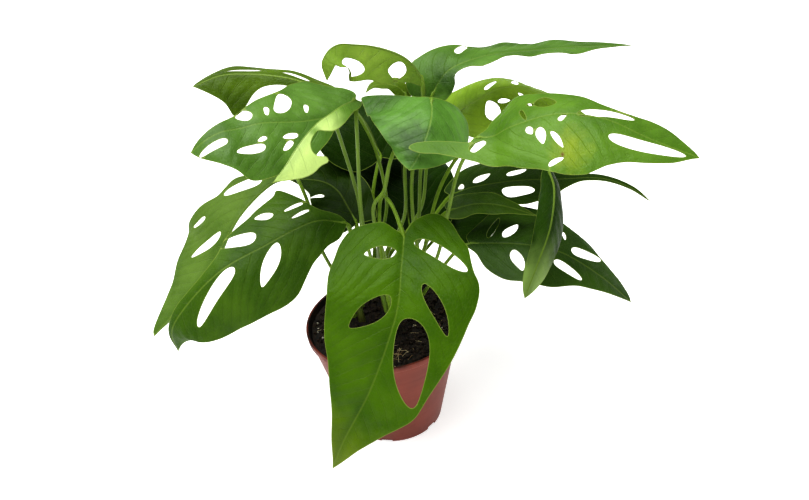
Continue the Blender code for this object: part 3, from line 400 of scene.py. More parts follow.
# %% The leaves
# Face directions are spread evenly along the midrib. Edges are (along, out) points, or two half-widths.
# Slots are (along, across, length, width, turn in degrees). Folds and curls are in degrees, left and
# right, and waves are (number, height, start). A stalk's points begin at its stem.
LEAVES = [
    leaf(
        "leaf_front",
        rib=[(21, -42, 195), (16, -66, 186), (8, -88, 163), (-14, -108, 122), (-38, -116, 84),
             (-49, -116, 59)],
        face=[(0, -0.7, 0.7), (-0.2, -0.9, 0.4)],
        fold=(12, 12), curl=(-25, -25),
        left=[(-6, 2), (-14, 7), (-20, 19), (-15, 30), (-2, 38), (8, 44), (20, 47), (36, 53),
              (47, 52), (57, 48), (76, 44), (100, 38), (116, 35), (127, 28), (136, 22), (154, 13),
              (170, 6)],
        right=[(-4, 6), (-9, 15), (-7, 24), (-1, 36), (10, 43), (24, 46), (37, 49), (66, 47),
               (88, 42), (104, 34), (122, 26), (140, 16), (158, 8), (171, 3)],
        slots=[(61, -17, 36, 13, -36), (85, 19, 57, 23, 24), (50, 26, 33, 8, 40),
               (15, 26, 42, 11, 61), (17, -15, 22, 9, -77)],
        stalk=beside("stem_front", 100, -100) + [(4, -26, 150), (6, -16, 195), (10, -12, 211),
              (16, -24, 209)],
    ),
    leaf(
        "leaf_left_low",
        rib=[(-18, -6, 190), (-41, -14, 199), (-78, -26, 191), (-107, -36, 183), (-132, -42, 165),
             (-149, -46, 145), (-150, -44, 123)],
        face=[(0, -0.3, 0.95), (-0.4, -0.5, 0.8)],
        fold=(-20, 0), curl=(-30, -10),
        left=[(2, 6), (7, 14), (18, 20), (29, 24), (40, 28), (51, 35), (61, 42), (71, 45), (83, 45),
              (95, 44), (107, 42), (118, 39), (130, 36), (140, 32), (150, 26), (160, 17), (170, 6)],
        right=[(4, 7), (16, 10), (21, 15), (26, 26), (36, 43), (42, 38), (57, 33), (64, 30), (77, 26),
               (86, 22), (96, 13), (112, 8), (128, 7), (141, 7), (158, 4)],
        slots=[(67, 14, 33, 9, 43), (115, 10, 52, 10, 14), (78, -15, 26, 12, -14),
               (54, -24, 14, 6, -22), (33, -20, 14, 4, 4), (31, -11, 14, 3, 5)],
        stalk=beside("stem_left", 100, 200) + [(-20, -4, 150), (-16, -4, 180)],
    ),
    leaf(
        "leaf_left_far",
        rib=[(-55, 49, 203), (-72, 41, 203), (-97, 27, 188), (-118, 10, 165), (-149, -4, 136),
             (-173, -12, 116)],
        face=[(-0.2, -0.3, 0.93), (-0.5, -0.5, 0.7)],
        fold=(32, -5), curl=(-20, -10),
        left=[(2, 3), (12, 5), (28, 5), (50, 5), (72, 6), (88, 12), (110, 14), (130, 10), (155, 3)],
        right=[(0, 5), (8, 11), (16, 17), (24, 26), (33, 35), (43, 35), (50, 36), (60, 47), (75, 52),
               (88, 47), (100, 41), (113, 35), (126, 24), (136, 19), (150, 12), (161, 5)],
        slots=[(33, -20, 33, 12, -38), (85, -16, 36, 8, -25), (70, -38, 16, 5, -38)],
        stalk=beside("stem_left", 108, 165) + [(-40, 6, 165), (-43, 14, 192), (-49, 24, 213)],
    ),
    leaf(
        "leaf_left_shade",
        rib=[(-11, 14, 177), (-16, 26, 184), (-23, 40, 192), (-36, 52, 195), (-62, 62, 195)],
        face=[(0, -0.2, 0.97)],
        width=(26, 26), slots=[(38, 16, 14, 4, 40)],
        right=[(-3, 8), (-3, 15), (6, 19), (18, 22), (30, 23), (44, 25), (54, 22), (61, 13)],
        stalk=beside("stem_left", 104, 60) + [(-16, 12, 150), (-12, 11, 168)],
    ),
    leaf(
        "leaf_upper_left",
        rib=[(-17, 4, 269), (-38, -8, 274), (-62, -18, 281), (-76, -24, 282), (-87, -30, 284),
             (-97, -34, 282), (-109, -36, 275)],
        face=[(0, -0.35, 0.94)],
        fold=(-12, 8), curl=(-25, -15), wave=(2.5, 0.5, 0.1),
        left=[(-2, 4), (2, 9), (7, 14), (13, 19), (20, 24), (28, 31), (38, 36), (50, 38), (64, 38),
              (74, 36), (84, 28), (93, 18), (101, 8)],
        right=[(-8, 5), (-18, 9), (-27, 14), (-29, 20), (-24, 26), (-15, 30), (-8, 35), (-1, 40),
               (6, 41), (14, 39), (25, 33), (35, 28), (48, 22), (56, 17), (65, 12), (80, 7), (97, 3)],
        slots=[(90, 7, 22, 6, 0), (66, 17, 21, 6, 0), (56, 12, 8, 3, 8), (38, 18, 10, 4, 39),
               (35, 11, 11, 4, 12), (32, -17, 23, 13, 46), (46, -10, 8, 4, 79), (61, -9, 11, 8, 0),
               (15, -11, 9, 4, 65)],
        stalk=beside("stem_left", 118, 20) + [(-9, 5, 165), (-7, 5, 200), (-13, 6, 245)],
    ),
    leaf(
        "leaf_top_left",
        rib=[(-16, 40, 271), (-39, 44, 282), (-56, 48, 286), (-75, 52, 288), (-93, 52, 289),
             (-113, 48, 285)],
        face=[(0, 0.0, 1), (0, 0.05, 1), (0, 0.1, 1)],
        left=[(-2, 4), (10, 6), (28, 6), (42, 7), (54, 12), (66, 26), (76, 29), (86, 19), (96, 7)],
        right=[(-4, 8), (2, 14), (16, 17), (32, 16), (48, 18), (64, 24), (76, 26), (86, 20), (96, 8)],
        fold=(-55, -4), curl=(-15, -10),
        slots=[(66, -9, 24, 5, 2), (28, -7, 22, 5, -8)],
        stalk=beside("stem_back", 126, 100) + [(10, 38, 158), (14, 44, 178), (10, 54, 215),
              (-2, 52, 250)],
    ),
    leaf(
        "leaf_curled",
        rib=[(0, -4, 283), (-8, -18, 287), (-16, -32, 289), (-25, -46, 290), (-33, -58, 288),
             (-40, -68, 284), (-47, -76, 278), (-56, -82, 271)],
        face=[(-0.1, -0.2, 0.97), (-0.3, -0.3, 0.9), (-0.25, -0.35, 0.9), (-0.2, -0.4, 0.9)],
        fold=(-35, -45), curl=(-35, -60), wave=(4.5, 0.8, 0.1),
        left=[(-3, 4), (4, 7), (16, 8), (26, 10), (34, 11), (45, 11), (51, 8), (56, 4), (66, 5),
              (71, 9), (71, 14), (66, 19), (69, 22), (76, 19), (83, 17), (88, 14), (93, 9), (98, 4)],
        right=[(-5, 6), (-6, 11), (4, 12), (14, 11), (24, 9), (36, 7), (48, 6), (60, 6), (76, 5),
               (92, 3)],
        slots=[],
        stalk=beside("stem_front", 112, 170) + [(-6, -14, 190), (-2, -12, 260)],
    ),
    leaf(
        "leaf_top_arched",
        rib=[(48, 16, 282), (44, 15, 292), (37, 14, 301), (27, 12, 308), (15, 9, 314), (4, 5, 318),
             (-5, 1, 321), (-12, -3, 320), (-17, -7, 316), (-19, -9, 311), (-17, -11, 301)],
        face=[(0.3, -0.2, 0.93), (0.1, -0.2, 0.97), (-0.3, -0.2, 0.9), (-0.9, -0.3, 0.2)],
        fold=(-60, -30), curl=(12, -20),
        left=[(-3, 3), (3, 8), (9, 14), (18, 18), (28, 21), (40, 23), (54, 24), (64, 24), (73, 22),
              (80, 19), (86, 15), (91, 11), (96, 8), (100, 4)],
        right=[(2, 3), (16, 5), (28, 7), (42, 9), (56, 11), (70, 10), (84, 8), (97, 4)],
        slots=[(68, 15, 30, 10, -6), (23, 10.5, 18, 11, 15)],
        stalk=beside("stem_right", 124, -20) + [(31, 8, 176), (34, 9, 216), (45, 14, 250)],
    ),
    leaf(
        "leaf_top_right",
        rib=[(53, 20, 267), (60, 22, 278), (71, 26, 285), (97, 32, 288), (127, 38, 285),
             (159, 42, 282), (202, 44, 277)],
        face=[(-0.35, -0.85, 0.45), (-0.25, -0.5, 0.8), (0, 0.08, 1), (0, 0.17, 0.98),
              (0, 0.17, 0.98), (0, 0.17, 0.98), (0, 0.17, 0.98), (0, 0.17, 0.98)],
        fold=(4, 0), curl=(-10, -5), wave=(4.5, 1.6, 0.1),
        left=[(-4, 6), (-6, 14), (0, 21), (12, 25), (26, 23), (42, 25), (60, 30), (80, 30), (104, 26),
              (126, 18), (144, 8)],
        right=[(-3, 4), (0, 9), (9, 12), (17, 11), (25, 6), (36, 7), (44, 14), (54, 14), (62, 12),
               (76, 16), (90, 14), (104, 22), (114, 18), (130, 12), (146, 5)],
        slots=[(40, 18, 18, 6, 50)],
        stalk=beside("stem_right", 124, 60) + [(36, 17, 172), (41, 19, 213), (50, 22, 245)],
    ),
    leaf(
        "leaf_right",
        rib=[(74, -47, 266), (84, -50, 267), (96, -55, 275), (123, -62, 283), (149, -72, 281),
             (175, -83, 269), (205, -90, 255)],
        face=[(0, -0.25, 0.97)],
        fold=(0, -10), curl=(-20, -20),
        left=[(5, 7), (8, 15), (13, 24), (21, 34), (30, 36), (46, 27), (58, 21), (68, 18), (80, 13),
              (91, 12), (101, 14), (114, 17), (127, 15), (139, 7)],
        right=[(-5, 4), (-15, 3), (-28, 2), (-40, 3), (-44, 7), (-36, 11), (-25, 12), (-13, 15),
               (1, 19), (8, 22), (26, 31), (37, 36), (49, 41), (67, 42), (87, 38), (98, 29),
               (107, 22), (120, 16), (131, 11), (140, 5)],
        slots=[(47, 14, 14, 10, -25), (84, 5, 36, 7, 17), (58, -3, 7, 4, 49), (38, 16, 6, 3, -47),
               (33, 7, 12, 3, -74), (36, -8, 7, 4, -67), (43, -14, 13, 6, -86), (55, -19, 16, 4, -50),
               (53, -34, 17, 4, 14), (1, -7, 12, 7, 33), (114, -7, 49, 9, 10)],
        stalk=beside("stem_right", 108, -80) + [(43, -12, 150), (54, -16, 190), (61, -28, 228),
              (68, -42, 254)],
    ),
    leaf(
        "leaf_right_behind",
        rib=[(73, 40, 243), (90, 50, 247), (108, 60, 249), (129, 70, 242), (158, 80, 223),
             (184, 84, 203)],
        face=[(0.1, -0.2, 0.97)],
        width=(30, 36), fold=(-10, -10), curl=(-20, -20),
        slots=[(40, 10, 20, 5, 30), (36, -12, 12, 4, -12), (22, -14, 18, 12, 70),
               (60, -14, 18, 6, -50), (64, 12, 18, 6, 50)],
        stalk=beside("stem_back", 120, 40) + [(38, 30, 170), (47, 32, 208), (60, 37, 232)],
    ),
    leaf(
        "leaf_centre",
        rib=[(51, 5, 273), (50, -8, 270), (47, -20, 266), (42, -30, 260), (36, -38, 253),
             (29, -43, 246)],
        face=[(0, -0.4, 0.9)],
        fold=(-25, 0), curl=(-30, -12),
        left=[(-3, 9), (-4, 17), (-3, 25), (4, 31), (13, 33), (24, 32), (36, 27), (46, 20), (54, 11),
              (59, 4)],
        right=[(-3, 10), (-9, 28), (-13, 43), (-12, 48), (-5, 47), (4, 45), (18, 42), (32, 38),
               (44, 29), (52, 22), (58, 16), (61, 8)],
        slots=[],
        stalk=beside("stem_front", 106, 40) + [(2, -16, 197), (12, -18, 220), (20, -14, 243),
              (38, 0, 262)],
    ),
    leaf(
        "leaf_right_low",
        rib=[(72, 4, 152), (108, -6, 152), (136, -14, 146), (165, -20, 124), (189, -24, 98)],
        face=[(0, -0.2, 0.97)],
        fold=(0, -5), curl=(-10, -15),
        left=[(-4, 7), (0, 15), (7, 26), (13, 36), (22, 44), (34, 47), (52, 41), (69, 31), (91, 25),
              (103, 18), (115, 13), (125, 10), (135, 5)],
        right=[(-2, 4), (5, 10), (12, 21), (21, 28), (30, 32), (40, 33), (56, 33), (70, 30), (87, 21),
               (100, 16), (117, 9), (130, 4)],
        slots=[(16, 17, 24, 5, 75), (29, 14, 18, 7, 60), (37, -15, 20, 8, -63), (90, 11, 29, 10, 20),
               (77, -12, 26, 8, -8), (59, 15, 18, 8, -85), (69, 18, 8, 3, -77)],
        stalk=beside("stem_right", 96, -10) + [(46, 2, 130), (60, 3, 146)],
    ),
    leaf(
        "leaf_hanging",
        rib=[(131, 2, 209), (131, -18, 203), (123, -42, 189), (112, -56, 172), (99, -64, 145)],
        face=[(0.1, -0.6, 0.8)],
        left=[(-2, 4), (8, 7), (24, 10), (36, 17), (50, 20), (64, 20), (78, 18), (90, 14), (98, 8)],
        right=[(-2, 4), (8, 10), (24, 15), (50, 16), (70, 13), (88, 10), (98, 6)],
        fold=(-40, -40), curl=(-30, -30),
        slots=[],
        stalk=beside("stem_right", 110, 20) + [(40, 8, 160), (54, 12, 200), (76, 13, 229), (104, 11, 234),
              (123, 9, 223)],
    ),
    leaf(
        "leaf_right_far",
        rib=[(65, 50, 169), (84, 54, 171), (119, 62, 167), (155, 66, 161), (188, 66, 157),
             (212, 62, 147), (228, 56, 135)],
        face=[(0, -0.1, 1)],
        curl=(-10, -10),
        left=[(-3, 8), (10, 20), (30, 32), (48, 38), (62, 38), (76, 29), (93, 14), (104, 9), (115, 6),
              (129, 5), (148, 4), (163, 2)],
        right=[(-2, 6), (0, 9), (8, 15), (16, 20), (38, 28), (52, 31), (67, 27), (80, 21), (87, 17),
               (94, 12), (108, 5), (120, 4), (143, 3), (163, 2)],
        slots=[(30, 10, 21, 6, 28), (60, 12, 20, 6, 23), (52, -14, 29, 15, 4), (10, 4, 8, 4, 63)],
        stalk=beside("stem_back", 104, -10) + [(28, 26, 135), (52, 44, 158)],
    ),
    leaf(
        "leaf_right_middle",
        rib=[(60, 22, 172), (79, 18, 177), (99, 12, 176), (126, 8, 165)],
        face=[(0, -0.3, 0.95)],
        width=(12, 11), slots=[],
        stalk=beside("stem_right", 104, 90) + [(40, 22, 145), (52, 24, 164)],
    ),
    leaf(
        "leaf_top_small",
        rib=[(36, 26, 267), (31, 28, 274), (22, 29, 277), (13, 26, 278), (7, 20, 276)],
        face=[(0, -0.2, 0.97)],
        width=(8, 8), slots=[],
        stalk=beside("stem_back", 132, -30) + [(25, 12, 178), (29, 12, 218), (34, 19, 245)],
    ),
    leaf(
        "leaf_back_left",
        rib=[(14, 70, 200), (6, 88, 220), (-6, 112, 226), (-20, 138, 205), (-28, 154, 180)],
        face=[(0, -0.2, 0.97)],
        width=(46, 34), fold=(18, -5), curl=(-20, -25), slots=[],
        stalk=beside("stem_back", 112, 150) + [(2, 40, 150), (4, 48, 178), (10, 62, 194)],
    ),
    leaf(
        "leaf_back_middle",
        rib=[(30, 52, 142), (30, 82, 174), (32, 118, 177), (34, 150, 154), (34, 162, 130)],
        face=[(0, -0.2, 0.97)],
        width=(44, 44), fold=(-5, -5), curl=(-25, -25),
        slots=[(84, 20, 26, 10, 50), (100, 15, 20, 8, 45), (84, -20, 26, 10, -50),
               (100, -15, 20, 8, -45)],
        stalk=beside("stem_back", 99, 95) + [(12, 41, 118), (24, 47, 133)],
    ),
    leaf(
        "leaf_back_right",
        rib=[(58, 62, 130), (80, 92, 136), (100, 122, 126), (114, 146, 106), (118, 156, 87)],
        face=[(0, -0.2, 0.97)],
        width=(36, 36), fold=(-5, -5), curl=(-25, -25),
        slots=[(70, 14, 22, 8, 50), (70, -14, 22, 8, -50)],
        stalk=beside("stem_back", 97, 40) + [(30, 42, 115), (48, 56, 124)],
    ),
]

print(len(LEAVES), "leaves")

# %% [markdown]
# ## The blade as a thin solid
# A real blade is as thin as card, and thinnest at its edge. The mesh gets an upper and a lower side, alike
# triangle by triangle, and a narrow strip between them round the edge and the holes. A Solidify modifier
# would give it one thickness all over and no marks that tell the upper side from the lower. Each point
# also keeps its place on the leaf, in millimetres, so that the material knows where the veins and the
# edges are, however the leaf is bent.

# %% Blade mesh
BLADE_THICKNESS = 0.6
EDGE_THICKNESS = 0.35
EDGE_TAPER = 2.0


def blade_shell(leaf):
    """Points, faces, places on the leaf and marks of the blade. A mark is (under, stalk, rib)."""
    flat, faces, away = flat_leaf(leaf)
    normal = surface_normals(leaf, flat)
    middle = laid(leaf, flat) + normal * relief(leaf, flat, away)[:, None]
    thick = EDGE_THICKNESS + (BLADE_THICKNESS - EDGE_THICKNESS) * smoothstep(0.0, EDGE_TAPER, away)
    top = middle + normal * thick[:, None] / 2
    below = middle - normal * thick[:, None] / 2
    count = len(flat)
    shell = [tuple(f) for f in faces] + [tuple(f[::-1] + count) for f in faces]
    directed = {(f[i], f[(i + 1) % 3]) for f in faces.tolist() for i in range(3)}
    shell += [(b, a, a + count, b + count) for a, b in directed if (b, a) not in directed]
    spots = np.column_stack([flat, away])
    marks = np.zeros((2 * count, 3))
    marks[count:, 0] = 1
    return np.vstack([top, below]), shell, np.vstack([spots, spots]), marks


print(len(blade_shell(SMALL_LEAF)[1]), "faces in a small blade")

# %% [markdown]
# ## The stalk and the midrib
# The stalk is round, a little thicker at its foot and at the knuckle below the blade, and runs on under
# the blade as the midrib, down to the tip. A curve with a bevel would give such a tube too, but its points
# couldn't carry the marks that the leaf's material reads, so the rings are laid here.

# %% Stalk mesh
STALK_SIDES = 12
STALK_RADIUS = 1.35
STALK_STEP = 2.5
FOOT_SHARE = 0.25
KNUCKLE_RADIUS = 1.75
KNUCKLE_PLACE = 5.0
KNUCKLE_LENGTH = 5.0
RIB_RADIUS = 0.8
RIB_TIP_RADIUS = 0.2
RIB_TAPER = 0.8
RIB_END_SHARE = 0.96
RIB_POINTS_STEP = 4.0
RIB_SUNK = 0.2
UNDER_BLADE = 0.9
FAR_FROM_EDGE = 10.0


def tube_shell(line, radii, sides):
    """A closed tube along a line, its rings carried without twist."""
    forward = unit(np.gradient(line, axis=0))
    side = unit(np.cross(forward[0], (0.3, 0.9, 0.2)))
    turns = math.tau * np.arange(sides) / sides
    points, faces = [], []
    for centre, ahead, radius in zip(line, forward, radii):
        side = unit(side - ahead * (side @ ahead))
        other = np.cross(ahead, side)
        points.extend(centre + radius * (np.outer(np.cos(turns), side) + np.outer(np.sin(turns), other)))
    for i in range(1, len(line)):
        for k in range(sides):
            a, b = (i - 1) * sides + k, (i - 1) * sides + (k + 1) % sides
            faces.append((a, b, b + sides, a + sides))
    last = (len(line) - 1) * sides
    faces.append(tuple(range(sides))[::-1])
    faces.append(tuple(range(last, last + sides)))
    return np.array(points), faces


def stalk_shell(leaf):
    """The stalk and the midrib below the blade, one tapering tube."""
    x = np.arange(0, leaf["length"] * RIB_END_SHARE, RIB_POINTS_STEP)
    place, _, _, up = rib_frame(leaf, x)
    rib_radius = RIB_TIP_RADIUS + RIB_RADIUS * (1 - x / leaf["length"]) ** RIB_TAPER
    depth = UNDER_BLADE + (rib_radius + RIB_SUNK - UNDER_BLADE) * smoothstep(0, 10, x)
    line = smooth_line(list(leaf["stalk"]) + list(place - up * depth[:, None]), STALK_STEP)
    far = along(line)
    blade_base = place[0] - up[0] * UNDER_BLADE
    start = far[int(np.argmin(np.linalg.norm(line - blade_base, axis=1)))]
    past = far - start
    foot = np.clip(1 - far / (FOOT_SHARE * start), 0, 1)
    stalk_side = STALK_RADIUS + (STALK_BASE_RADIUS - STALK_RADIUS) * foot
    rib_side = np.interp(past, x, rib_radius)
    radii = stalk_side + (rib_side - stalk_side) * smoothstep(-3, 9, past)
    knuckle = np.exp(-(((past + KNUCKLE_PLACE) / KNUCKLE_LENGTH) ** 2))
    radii += (KNUCKLE_RADIUS - STALK_RADIUS) * knuckle
    points, faces = tube_shell(line, radii, STALK_SIDES)
    reach = np.repeat(past, STALK_SIDES)
    marks = np.zeros((len(points), 3))
    marks[:, 2] = smoothstep(-2, 6, reach)
    marks[:, 1] = 1 - marks[:, 2]
    spots = np.column_stack([reach, np.zeros(len(points)), np.full(len(points), FAR_FROM_EDGE)])
    return points, faces, spots, marks


print(len(stalk_shell(LEAVES[0])[1]), "faces in the first stalk and its midrib")

# %% [markdown]
# ## From points to objects
# Blade and stalk are one leaf, so they go into one mesh. Every object sits at the origin with its place in
# its mesh, as the solid parts do.

# %% Mesh objects
SHARP_ANGLE = 60


def linked(name, data):
    """A new object in the scene that holds a mesh, a lamp or a camera."""
    obj = bpy.data.objects.new(name, data)
    bpy.context.scene.collection.objects.link(obj)
    return obj


def mesh_of(name, body):
    """A mesh with what a bmesh holds. The bmesh is then let go."""
    mesh = bpy.data.meshes.new(name)
    body.to_mesh(mesh)
    body.free()
    return mesh


def fine_object(name, points, faces, material, **vectors):
    """A smooth mesh object from points in millimetres, with its vector attributes and material."""
    mesh = bpy.data.meshes.new(name)
    mesh.from_pydata((np.asarray(points) * MM).tolist(), [], [tuple(int(i) for i in f) for f in faces])
    mesh.shade_smooth()
    mesh.set_sharp_from_angle(angle=math.radians(SHARP_ANGLE))
    for key, values in vectors.items():
        layer = mesh.attributes.new(key, "FLOAT_VECTOR", "POINT")
        layer.data.foreach_set("vector", np.asarray(values, np.float32).ravel())
    mesh.materials.append(material)
    return linked(name, mesh)


def joined(*shells):
    """Several shells, each a tuple of points, faces and more columns, put end to end."""
    faces, first = [], 0
    for shell in shells:
        faces.extend(tuple(i + first for i in f) for f in shell[1])
        first += len(shell[0])
    columns = [np.vstack([shell[k] for shell in shells]) for k in (0, *range(2, len(shells[0])))]
    return (columns[0], faces, *columns[1:])


print("edges sharper than", SHARP_ANGLE, "degrees stay sharp")

# %% [markdown]
# ## Tools for materials
# Each finish is built from a few kinds of node. A small class keeps the node code short: every method adds
# one node, connects or sets what it is given, and gives back its output.

# %% Material tools
class Finish:
    """One material and the nodes that are added to it."""

    def __init__(self, name):
        self.material = bpy.data.materials.new(name)
        self.material.use_nodes = True
        self.tree = self.material.node_tree
        self.skin = self.tree.nodes["Principled BSDF"]
        self.end = self.tree.nodes["Material Output"]

    def put(self, socket, value):
        """Connects a value that is another node's output, or else sets it."""
        if isinstance(value, bpy.types.NodeSocket):
            self.tree.links.new(value, socket)
        elif isinstance(value, tuple) and len(value) == 3 and socket.type == "RGBA":
            socket.default_value = (*value, 1.0)
        else:
            socket.default_value = value

    def node(self, kind, inputs, **settings):
        """Adds a node, with its settings and what goes into it."""
        made = self.tree.nodes.new(kind)
        for key, value in settings.items():
            setattr(made, key, value)
        for key, value in inputs.items():
            self.put(made.inputs[key], value)
        return made

    def math(self, operation, a, b=0.0, clamp=False):
        """One step of arithmetic."""
        made = self.node("ShaderNodeMath", {0: a, 1: b}, operation=operation, use_clamp=clamp)
        return made.outputs[0]

    def plus(self, a, b, clamp=False):
        """The sum of two values."""
        return self.math("ADD", a, b, clamp)

    def less(self, a, b):
        """The first value less the second."""
        return self.math("SUBTRACT", a, b)

    def times(self, a, b):
        """The product of two values."""
        return self.math("MULTIPLY", a, b)

    def soft(self, value, low, high, start=0.0, end=1.0):
        """A soft ramp from start to end while value goes from low to high."""
        inputs = {"Value": value, "From Min": low, "From Max": high, "To Min": start, "To Max": end}
        return self.node("ShaderNodeMapRange", inputs, interpolation_type="SMOOTHSTEP").outputs[0]

    def mix(self, share, a, b, blend="MIX"):
        """The first colour with a share of the second."""
        made = self.node("ShaderNodeMix", {}, data_type="RGBA", blend_type=blend)
        self.put(made.inputs["Factor"], share)
        self.put(made.inputs[6], a)
        self.put(made.inputs[7], b)
        return made.outputs[2]

    def noise(self, place, scale, detail=2.0, roughness=0.5):
        """Cloudy noise, about 0 to 1."""
        inputs = {"Vector": place, "Scale": scale, "Detail": detail, "Roughness": roughness}
        return self.node("ShaderNodeTexNoise", inputs).outputs[0]

    def cells(self, place, scale, feature="F1"):
        """The distance to a cell's middle or, with that feature, to its edge."""
        inputs = {"Vector": place, "Scale": scale}
        return self.node("ShaderNodeTexVoronoi", inputs, feature=feature).outputs[0]

    def parts(self, vector):
        """The three parts of a vector."""
        return self.node("ShaderNodeSeparateXYZ", {"Vector": vector}).outputs

    def vector(self, name):
        """A vector attribute of the mesh."""
        return self.node("ShaderNodeAttribute", {}, attribute_name=name).outputs["Vector"]

    def place(self):
        """The place on the object, in metres."""
        return self.node("ShaderNodeTexCoord", {}).outputs["Object"]

    def stretched(self, vector, scale):
        """A place scaled along each axis."""
        return self.node("ShaderNodeMapping", {"Vector": vector, "Scale": scale}).outputs[0]

    def bump(self, height, strength, distance):
        """A normal that follows a height."""
        inputs = {"Height": height, "Strength": strength, "Distance": distance}
        return self.node("ShaderNodeBump", inputs).outputs[0]

    def wear(self, **inputs):
        """Puts values on the shader, named as words joined by underscores."""
        for key, value in inputs.items():
            self.put(self.skin.inputs[key.replace("_", " ")], value)


def seen(*colour):
    """A colour as it is seen on a screen, 0 to 255, turned into the light it throws back."""
    return tuple(((v / 255 + 0.055) / 1.055) ** 2.4 if v > 10 else v / 255 / 12.92 for v in colour)


print("tools ready")

# %% [markdown]
# ## The leaf's finish
# The upper skin is mid green with a waxy sheen. Beside the midrib its green is darkened a little as painted
# shade of the fold there. It has fine pale side veins that leave the rib at a slant, and a net of finer
# veins between them. The cut edges and the rims of the holes are made pale as a painted highlight, as if
# they caught the light. The underside is duller and paler. Light comes through a blade, more yellow than
# the skin, so every blade mixes a share of through-shine with its surface.

# %% Leaf finish
PALE_GREEN = seen(150, 172, 76)
# Painted highlight: the pale green given to cut edges and hole rims, as if they caught the light.
RIM_HIGHLIGHT_GREEN = seen(138, 158, 70)
BACK_GREEN = seen(84, 104, 50)
RIB_GREEN = seen(104, 130, 44)
STALK_DARK = seen(84, 112, 24)
STALK_LIGHT = seen(124, 154, 46)
THROUGH_TINT = (2.1, 1.75, 0.9)
VEIN_SHARE = 0.13
NET_SHARE = 0.06
MIDRIB_SHARE = 0.4
RIM_HIGHLIGHT_SHARE = 0.75
BACK_SHARE = 0.45
GRAIN_SHARE = 0.22
TIP_RAGGED = 14.0
PATCH_RAGGED = 1.4
VEIN_WANDER = 0.32
LEAF_RELIEF = 0.62
LEAF_DEPTH = 0.0005


def leaf_finish(name, dark, light, glow, sheen=0.4, coat=0.0, shine=0.22, tip=None, patches=()):
    """The material of one leaf.

    It takes the leaf's two greens, the share of light it lets through, its roughness, its wax coat and
    how much it mirrors. A tip is (colour, where it starts, where it is full), and each patch is
    (colour, along, across, size), in millimetres. Patches paint shadows and highlights as well as blotches.
    """
    f = Finish(name)
    at = f.vector("leaf_at")
    marks = f.vector("leaf_marks")
    along_rib, across, away = f.parts(at)
    under, stalk_share, rib_share = f.parts(marks)
    out = f.math("ABSOLUTE", across)
    wander = f.times(f.less(f.noise(at, 0.05), 0.5), VEIN_WANDER)
    slant = f.times(out, VEIN_LEAN)
    bow = f.times(f.times(out, out), VEIN_BOW)
    run = f.less(f.less(along_rib, slant), bow)
    left = f.times(f.math("GREATER_THAN", across, 0.0), VEIN_STAGGER)
    phase = f.plus(f.plus(f.math("DIVIDE", run, VEIN_SPACING), left), wander)
    tooth = f.math("ABSOLUTE", f.less(f.math("FRACT", phase), 0.5))
    vein = f.soft(tooth, 0.455, 0.5)
    vein = f.times(vein, f.soft(away, 1.0, 8.0, 0.15, 1.0))
    midrib = f.soft(out, 0.2, 1.0, 1.0, 0.0)
    net = f.soft(f.cells(at, 0.42, "DISTANCE_TO_EDGE"), 0.0, 0.09, 1.0, 0.0)
    mottle = f.soft(f.noise(at, 0.03, 2.0, 0.5), 0.22, 0.78)
    grain = f.noise(at, 0.6, 3.0)
    skin = f.mix(mottle, dark, light)
    skin = f.mix(f.times(f.soft(grain, 0.3, 0.7), GRAIN_SHARE), skin, light)
    if tip:
        reach = f.plus(along_rib, f.times(f.less(mottle, 0.5), TIP_RAGGED))
        skin = f.mix(f.soft(reach, tip[1], tip[2]), skin, tip[0])
    # Painted shade: the green is darkened a little beside the midrib, as the fold there would shade it.
    skin = f.mix(f.times(f.soft(out, 1.0, 7.0, 1.0, 0.0), 0.3), skin, dark)
    pale = tuple(0.5 * a + 0.5 * b for a, b in zip(light, PALE_GREEN))
    skin = f.mix(f.times(net, NET_SHARE), skin, pale)
    skin = f.mix(f.times(vein, VEIN_SHARE), skin, pale)
    skin = f.mix(f.times(midrib, MIDRIB_SHARE), skin, pale)
    # Painted highlight: cut edges and hole rims are made paler, as if they caught the light.
    skin = f.mix(f.soft(away, 0.15, 0.6, RIM_HIGHLIGHT_SHARE, 0.0), skin, RIM_HIGHLIGHT_GREEN)
    for colour, patch_along, patch_across, size in patches:
        skin = f.mix(spot_share(f, at, patch_along, patch_across, size), skin, colour)
    skin = f.mix(under, skin, f.mix(BACK_SHARE, skin, BACK_GREEN))
    streaks = f.noise(f.stretched(f.place(), (900.0, 900.0, 60.0)), 1.0, 2.0)
    skin = f.mix(rib_share, skin, RIB_GREEN)
    skin = f.mix(stalk_share, skin, f.mix(streaks, STALK_DARK, STALK_LIGHT))
    rough = f.plus(f.times(f.noise(at, 0.15, 3.0), 0.18), sheen - 0.09)
    rough = f.plus(rough, f.times(under, 0.15))
    pucker = f.noise(at, 0.2, 2.0)
    height = f.plus(f.times(pucker, 1.5), f.times(grain, 0.35))
    height = f.less(height, f.times(net, 0.25))
    height = f.less(height, f.times(vein, 0.9))
    height = f.less(height, f.times(midrib, 0.5))
    normal = f.bump(height, LEAF_RELIEF, LEAF_DEPTH)
    f.wear(Base_Color=skin, Roughness=rough, Normal=normal, Specular_IOR_Level=shine, Coat_Weight=coat,
           Coat_Roughness=0.3)
    lit = f.mix(f.times(vein, 0.25), f.mix(1.0, skin, THROUGH_TINT, "MULTIPLY"), dark)
    through = f.node("ShaderNodeBsdfTranslucent", {"Color": lit, "Normal": normal})
    solid = f.plus(stalk_share, rib_share, clamp=True)
    share = f.times(f.less(1.0, solid), glow)
    both = f.node("ShaderNodeMixShader", {0: share, 1: f.skin.outputs[0], 2: through.outputs[0]})
    f.put(f.end.inputs["Surface"], both.outputs[0])
    return f.material


